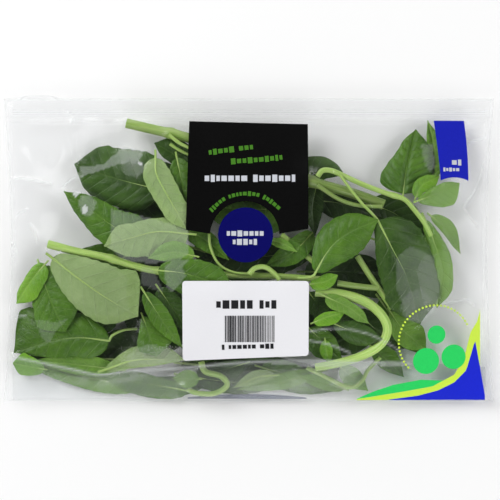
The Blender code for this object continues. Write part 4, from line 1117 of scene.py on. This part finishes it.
BLUE = print_material("print_blue", (0.012, 0.018, 0.42), 0.45, 0.1)
TAG_LEFT, TAG_RIGHT, TAG_LOW, TAG_TOP, TAG_NOTCH = 95.5, 109.9, 33.6, 63.9, 1.7
tag_x = np.linspace(0, 1, 13)
tag_v = np.linspace(0, 1, 24)
tag_left = TAG_LEFT - 2.8 * tag_v**1.4
tag_right = TAG_RIGHT - 1.9 * np.abs(tag_v) ** 2.2
tag_low = TAG_LOW + TAG_NOTCH * np.sin(math.pi * tag_x) ** 0.8
tag_px = tag_left[None, :] + (tag_right - tag_left)[None, :] * tag_x[:, None]
tag_py = tag_low[:, None] + (TAG_TOP - tag_low[:, None]) * tag_v[None, :]
lay_label("tag_blue", ["side_tag"], [np.stack([tag_px, tag_py], axis=-1)], [BLUE])


# ---------------------------------------------------------------------------------------------------------
# Corner print: a blue field along the bag's lower right corner, edged by a lime band and a green one, all
# printed on the front film.

CORNER_BLUE = print_material("print_corner_blue", (0.015, 0.026, 0.62), 0.45, 0.08)
LIME = print_material("print_lime", (0.62, 0.85, 0.08), 0.45, 0.05)
GREEN = print_material("print_green", (0.03, 0.66, 0.13), 0.45, 0.08)
PRINT_LEFT, PRINT_RIGHT, PRINT_LOW = 54, 118.6, -76.4
BLUE_START, GREEN_END, LIME_END = 70, 99, 116.5
print_x = np.linspace(PRINT_LEFT, PRINT_RIGHT, 80)
blue_high = np.interp(print_x, (70, 85, 95, 103, 109, 112.2, 113.5, 116.2, 118.6),
                      (-76.2, -74.2, -71.5, -67.5, -61.5, -51, -46, -60, -74))
lime_high = np.interp(print_x, (54, 75, 92, 103, 108, 111, 114.5, 116.4, 118.6),
                      (-75.8, -72.5, -69.5, -63.5, -55, -42.5, -37, -30, -74))
green_high = np.interp(print_x, (54, 62, 72, 86, 97), (-75.6, -72, -68.6, -66, -66.5))
base_low = np.full(len(print_x), PRINT_LOW)
blue_part, green_part = print_x >= BLUE_START, print_x <= GREEN_END
lime_part = print_x < LIME_END
lime_low = np.where(print_x < BLUE_START, base_low + 0.1, np.maximum(blue_high, base_low))
plans = [column_plan(print_x[blue_part], base_low[blue_part],
                     np.maximum(blue_high, base_low + 0.2)[blue_part], 20),
         column_plan(print_x[lime_part], lime_low[lime_part],
                     np.maximum(lime_high, lime_low + 0.1)[lime_part], 12),
         column_plan(print_x[green_part], np.maximum(lime_high, base_low)[green_part] + 0.05,
                     np.maximum(green_high, lime_high + 0.15)[green_part], 10)]
lay_label("print_corner", ["corner_print"], plans, [CORNER_BLUE, LIME, GREEN])


# ---------------------------------------------------------------------------------------------------------
# Marks: rows of plain dashes in place of a packer's words, and plain dots in place of its emblem, printed
# on the labels and on the film of the lower right corner.

INK = print_material("print_bars", (0.02, 0.02, 0.022), 0.5, 0.2)
PALE_INK = print_material("print_pale", (0.55, 0.57, 0.62), 0.5, 0.08)
GREEN_INK = print_material("print_soft_green", (0.06, 0.2, 0.02), 0.5, 0.1)
mark_rng = np.random.default_rng(19)


def dash_plan(cx, cy, width, height, turn=0.0):
    """One dash's grid."""
    u, v = np.meshgrid([-width / 2, 0.0, width / 2], [-height / 2, height / 2], indexing="ij")
    across, up = u * math.cos(turn) - v * math.sin(turn), u * math.sin(turn) + v * math.cos(turn)
    return np.stack([cx + across, cy + up], axis=-1)


def dash_row(points, height, words):
    """Dashes of uneven length along a line, in groups as words are."""
    line = smooth_route(points, 60)
    run = np.concatenate([[0], np.cumsum(np.linalg.norm(np.diff(line, axis=0), axis=1))])
    plans, at = [], 0.0
    for word in words:
        for _ in range(word):
            width = height * mark_rng.uniform(0.45, 0.85)
            middle = at + width / 2
            if middle > run[-1]:
                return plans
            cx, cy = np.interp(middle, run, line[:, 0]), np.interp(middle, run, line[:, 1])
            ahead = min(middle + 0.5, run[-1])
            rise, going = np.interp(ahead, run, line[:, 1]) - cy, np.interp(ahead, run, line[:, 0]) - cx
            turn = math.atan2(rise, going + 1e-6)
            tall = height * mark_rng.choice((0.75, 0.75, 1.0))
            plans.append(dash_plan(cx, cy, width, tall, turn))
            at += width + height * 0.22
        at += height * 0.6
    return plans


def disc_plan(cx, cy, radius):
    """A plain dot's grid."""
    columns = rounded(17, cx, radius * 0.999)
    half = np.sqrt(np.clip(radius**2 - (columns - cx) ** 2, 0.01, None))
    return column_plan(columns, cy - half, cy + half, 9)


lay_label("panel_white_marks", None, dash_row([(-22, 34.6), (23, 34.6)], 3.6, (7, 7)), [PALE_INK],
          0.3)
script = dash_row([(-20, 47.5), (-5, 49.5), (9, 51)], 3.0, (5, 3))
script += dash_row([(-9, 43), (6, 44), (20, 45.5)], 3.0, (10,))
arched = dash_row([(-19, 18.5), (-12, 24.5), (-2, 27), (8, 25), (18, 17)], 2.4, (5, 8, 5))
lay_label("panel_green_marks", None, script + arched, [GREEN_INK], 0.3)
disc_marks = dash_row([(-11, 7.2), (8, 7.2)], 3.0, (9,)) + dash_row([(-8, 3), (5, 3)], 3.0, (6,))
lay_label("disc_marks", None, disc_marks, [PALE_INK], 0.3)
lay_label("sticker_name_marks", None, dash_row([(-16.2, -28), (18, -28)], 4.2, (5, 3)), [INK],
          0.3)
lay_label("sticker_code_marks", None, dash_row([(-13.5, -49.4), (12.5, -48.8)], 2.6, (1, 6, 6)), [INK],
          0.3)
tag_marks = dash_row([(101.5, 42.8), (107.5, 42.8)], 3.0, (2,))
tag_marks += dash_row([(97, 39.2), (107.5, 39.2)], 2.0, (5,))
lay_label("tag_marks", None, tag_marks, [PALE_INK], 0.3)
dots = [disc_plan(88.5, -56.5, 6.6), disc_plan(102.5, -54.5, 6.2), disc_plan(93.5, -43.2, 4.6)]
lay_label("corner_dots", None, dots, [GREEN], 0.24)
ring = [disc_plan(93 + 18.5 * math.cos(a), -47 + 18.5 * math.sin(a), 0.55) for a in np.linspace(0.5, 3.9,
                                                                                                34)]
lay_label("corner_ring", None, ring, [LIME], 0.24)


# ---------------------------------------------------------------------------------------------------------
# Sticker bars: a row of plain upright bars of uneven width, printed in black on the price sticker. They
# follow no code.

BAR_COUNT, BAR_PITCH, BAR_HEIGHT, BAR_SEED = 30, 0.83, 13.2, 11
BAR_LEFT, BAR_MIDDLE, BAR_RAISE = -11.7, -40.2, 0.28
THIN_BAR, WIDE_BAR, BAR_ROWS = 0.25, 0.85, 8


def bar_pattern(name, count, pitch, height, seed, material):
    """A row of upright bars of uneven widths, made as a node tree on one object."""
    tree = bpy.data.node_groups.new(name, "GeometryNodeTree")
    given_values = {}
    for label, kind, value in (("Count", "NodeSocketInt", count), ("Pitch", "NodeSocketFloat", pitch),
                               ("Height", "NodeSocketFloat", height), ("Seed", "NodeSocketInt", seed)):
        socket = tree.interface.new_socket(label, in_out="INPUT", socket_type=kind)
        given_values[socket.identifier] = value
    tree.interface.new_socket("Bars", in_out="OUTPUT", socket_type="NodeSocketGeometry")
    given = node_of(tree, "NodeGroupInput")
    offset = node_of(tree, "ShaderNodeCombineXYZ", {"X": given.outputs["Pitch"]})
    row = node_of(tree, "GeometryNodeMeshLine",
                  {"Count": given.outputs["Count"], "Offset": offset.outputs[0]})
    size = node_of(tree, "ShaderNodeCombineXYZ",
                   {"X": 1.0, "Y": given.outputs["Height"], "Z": LABEL_THICKNESS * MM})
    bar = node_of(tree, "GeometryNodeMeshCube", {"Vertices Y": BAR_ROWS, "Size": size.outputs[0]})
    width = node_of(tree, "FunctionNodeRandomValue",
                    {2: THIN_BAR * pitch, 3: WIDE_BAR * pitch, "Seed": given.outputs["Seed"]},
                    data_type="FLOAT")
    scale = node_of(tree, "ShaderNodeCombineXYZ", {"X": width.outputs[1], "Y": 1.0, "Z": 1.0})
    place = node_of(tree, "GeometryNodeInstanceOnPoints",
                    {"Points": row.outputs[0], "Instance": bar.outputs[0], "Scale": scale.outputs[0]})
    real = node_of(tree, "GeometryNodeRealizeInstances", {0: place.outputs[0]})
    finish = node_of(tree, "GeometryNodeSetMaterial", {0: real.outputs[0], "Material": material})
    node_of(tree, "NodeGroupOutput", {0: finish.outputs[0]})
    holder = bpy.data.objects.new(name, bpy.data.meshes.new(name + "_seed"))
    scene.collection.objects.link(holder)
    modifier = holder.modifiers.new("bars", "NODES")
    modifier.node_group = tree
    for identifier, value in given_values.items():
        modifier[identifier] = value
    made = bpy.data.meshes.new_from_object(holder.evaluated_get(bpy.context.evaluated_depsgraph_get()))
    holder.modifiers.remove(modifier)
    holder.data = made
    return holder


bars = bar_pattern("sticker_bars", BAR_COUNT, BAR_PITCH * MM, BAR_HEIGHT * MM, BAR_SEED, INK)
for vertex in bars.data.vertices:
    px, py = vertex.co.x / MM + BAR_LEFT, vertex.co.y / MM + BAR_MIDDLE
    at_x, at_y = np.array([px]), np.array([py])
    lie = max(float(film_surface(at_x, at_y)[0]), float(sampled(widened(film_map, 1), at_x, at_y)[0]))
    vertex.co = (px * MM, py * MM, vertex.co.z + (lie + BAR_RAISE) * MM)
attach(bars, "root")


# ---------------------------------------------------------------------------------------------------------
# Studio: a white floor, three soft boxes round the bag, walls that are bright low down and dark overhead,
# and a camera straight above.

def floor_material():
    """Matt white card."""
    material, tree, out = new_material("white_floor")
    shader = node_of(tree, "ShaderNodeBsdfPrincipled",
                     {"Base Color": (0.93, 0.93, 0.93, 1), "Roughness": 0.9, "Specular IOR Level": 0.1})
    link(tree, shader.outputs[0], out.inputs["Surface"])
    return material


FLOOR_HALF, FLOOR_LEVEL = 3.0, -0.0003
floor_mesh = bpy.data.meshes.new("floor")
floor_mesh.from_pydata([(sx * FLOOR_HALF, sy * FLOOR_HALF, FLOOR_LEVEL)
                        for sx, sy in ((-1, -1), (1, -1), (1, 1), (-1, 1))], [], [(0, 1, 2, 3)])
floor_mesh.materials.append(floor_material())
floor = bpy.data.objects.new("floor", floor_mesh)
scene.collection.objects.link(floor)


def soft_box(name, place, size, power):
    """A square area light that faces the bag."""
    light = bpy.data.lights.new(name, "AREA")
    light.shape = "SQUARE"
    light.size = size
    light.energy = power
    holder = bpy.data.objects.new(name, light)
    holder.location = place
    scene.collection.objects.link(holder)
    direction = -holder.location.copy()
    holder.rotation_euler = direction.to_track_quat("-Z", "Y").to_euler()


soft_box("box_left", (-0.95, 0.75, 0.95), 0.9, 16)
soft_box("box_right", (1.1, 0.1, 0.95), 0.9, 7)
soft_box("box_front", (0.0, -1.2, 0.9), 0.8, 6)

world = bpy.data.worlds.new("studio")
scene.world = world
world.use_nodes = True
sky = world.node_tree
around = node_of(sky, "ShaderNodeTexCoord")
height_above = node_of(sky, "ShaderNodeSeparateXYZ", {0: around.outputs["Generated"]})
walls = node_of(sky, "ShaderNodeMapRange",
                {"From Min": 0.3, "From Max": 0.85, "To Min": 0.9, "To Max": 0.05,
                 "Value": height_above.outputs["Z"]}, interpolation_type="SMOOTHSTEP")
link(sky, walls.outputs[0], sky.nodes["Background"].inputs["Strength"])
sky.nodes["Background"].inputs["Color"].default_value = (1, 1, 1, 1)

# Metres: the camera frames VIEW_WIDTH at VIEW_LEVEL, half way up the bag.
CAMERA_HEIGHT, VIEW_WIDTH, VIEW_LEVEL = 1.0, 0.25, 0.012
camera_data = bpy.data.cameras.new("camera")
camera_data.lens = camera_data.sensor_width * (CAMERA_HEIGHT - VIEW_LEVEL) / VIEW_WIDTH
camera = bpy.data.objects.new("camera", camera_data)
camera.location = (0.0005, -0.001, CAMERA_HEIGHT)
scene.collection.objects.link(camera)
scene.camera = camera
scene.view_settings.view_transform = "Standard"
# Light crosses up to six films on its way in and as many on its way out.
scene.cycles.transparent_max_bounces = 40
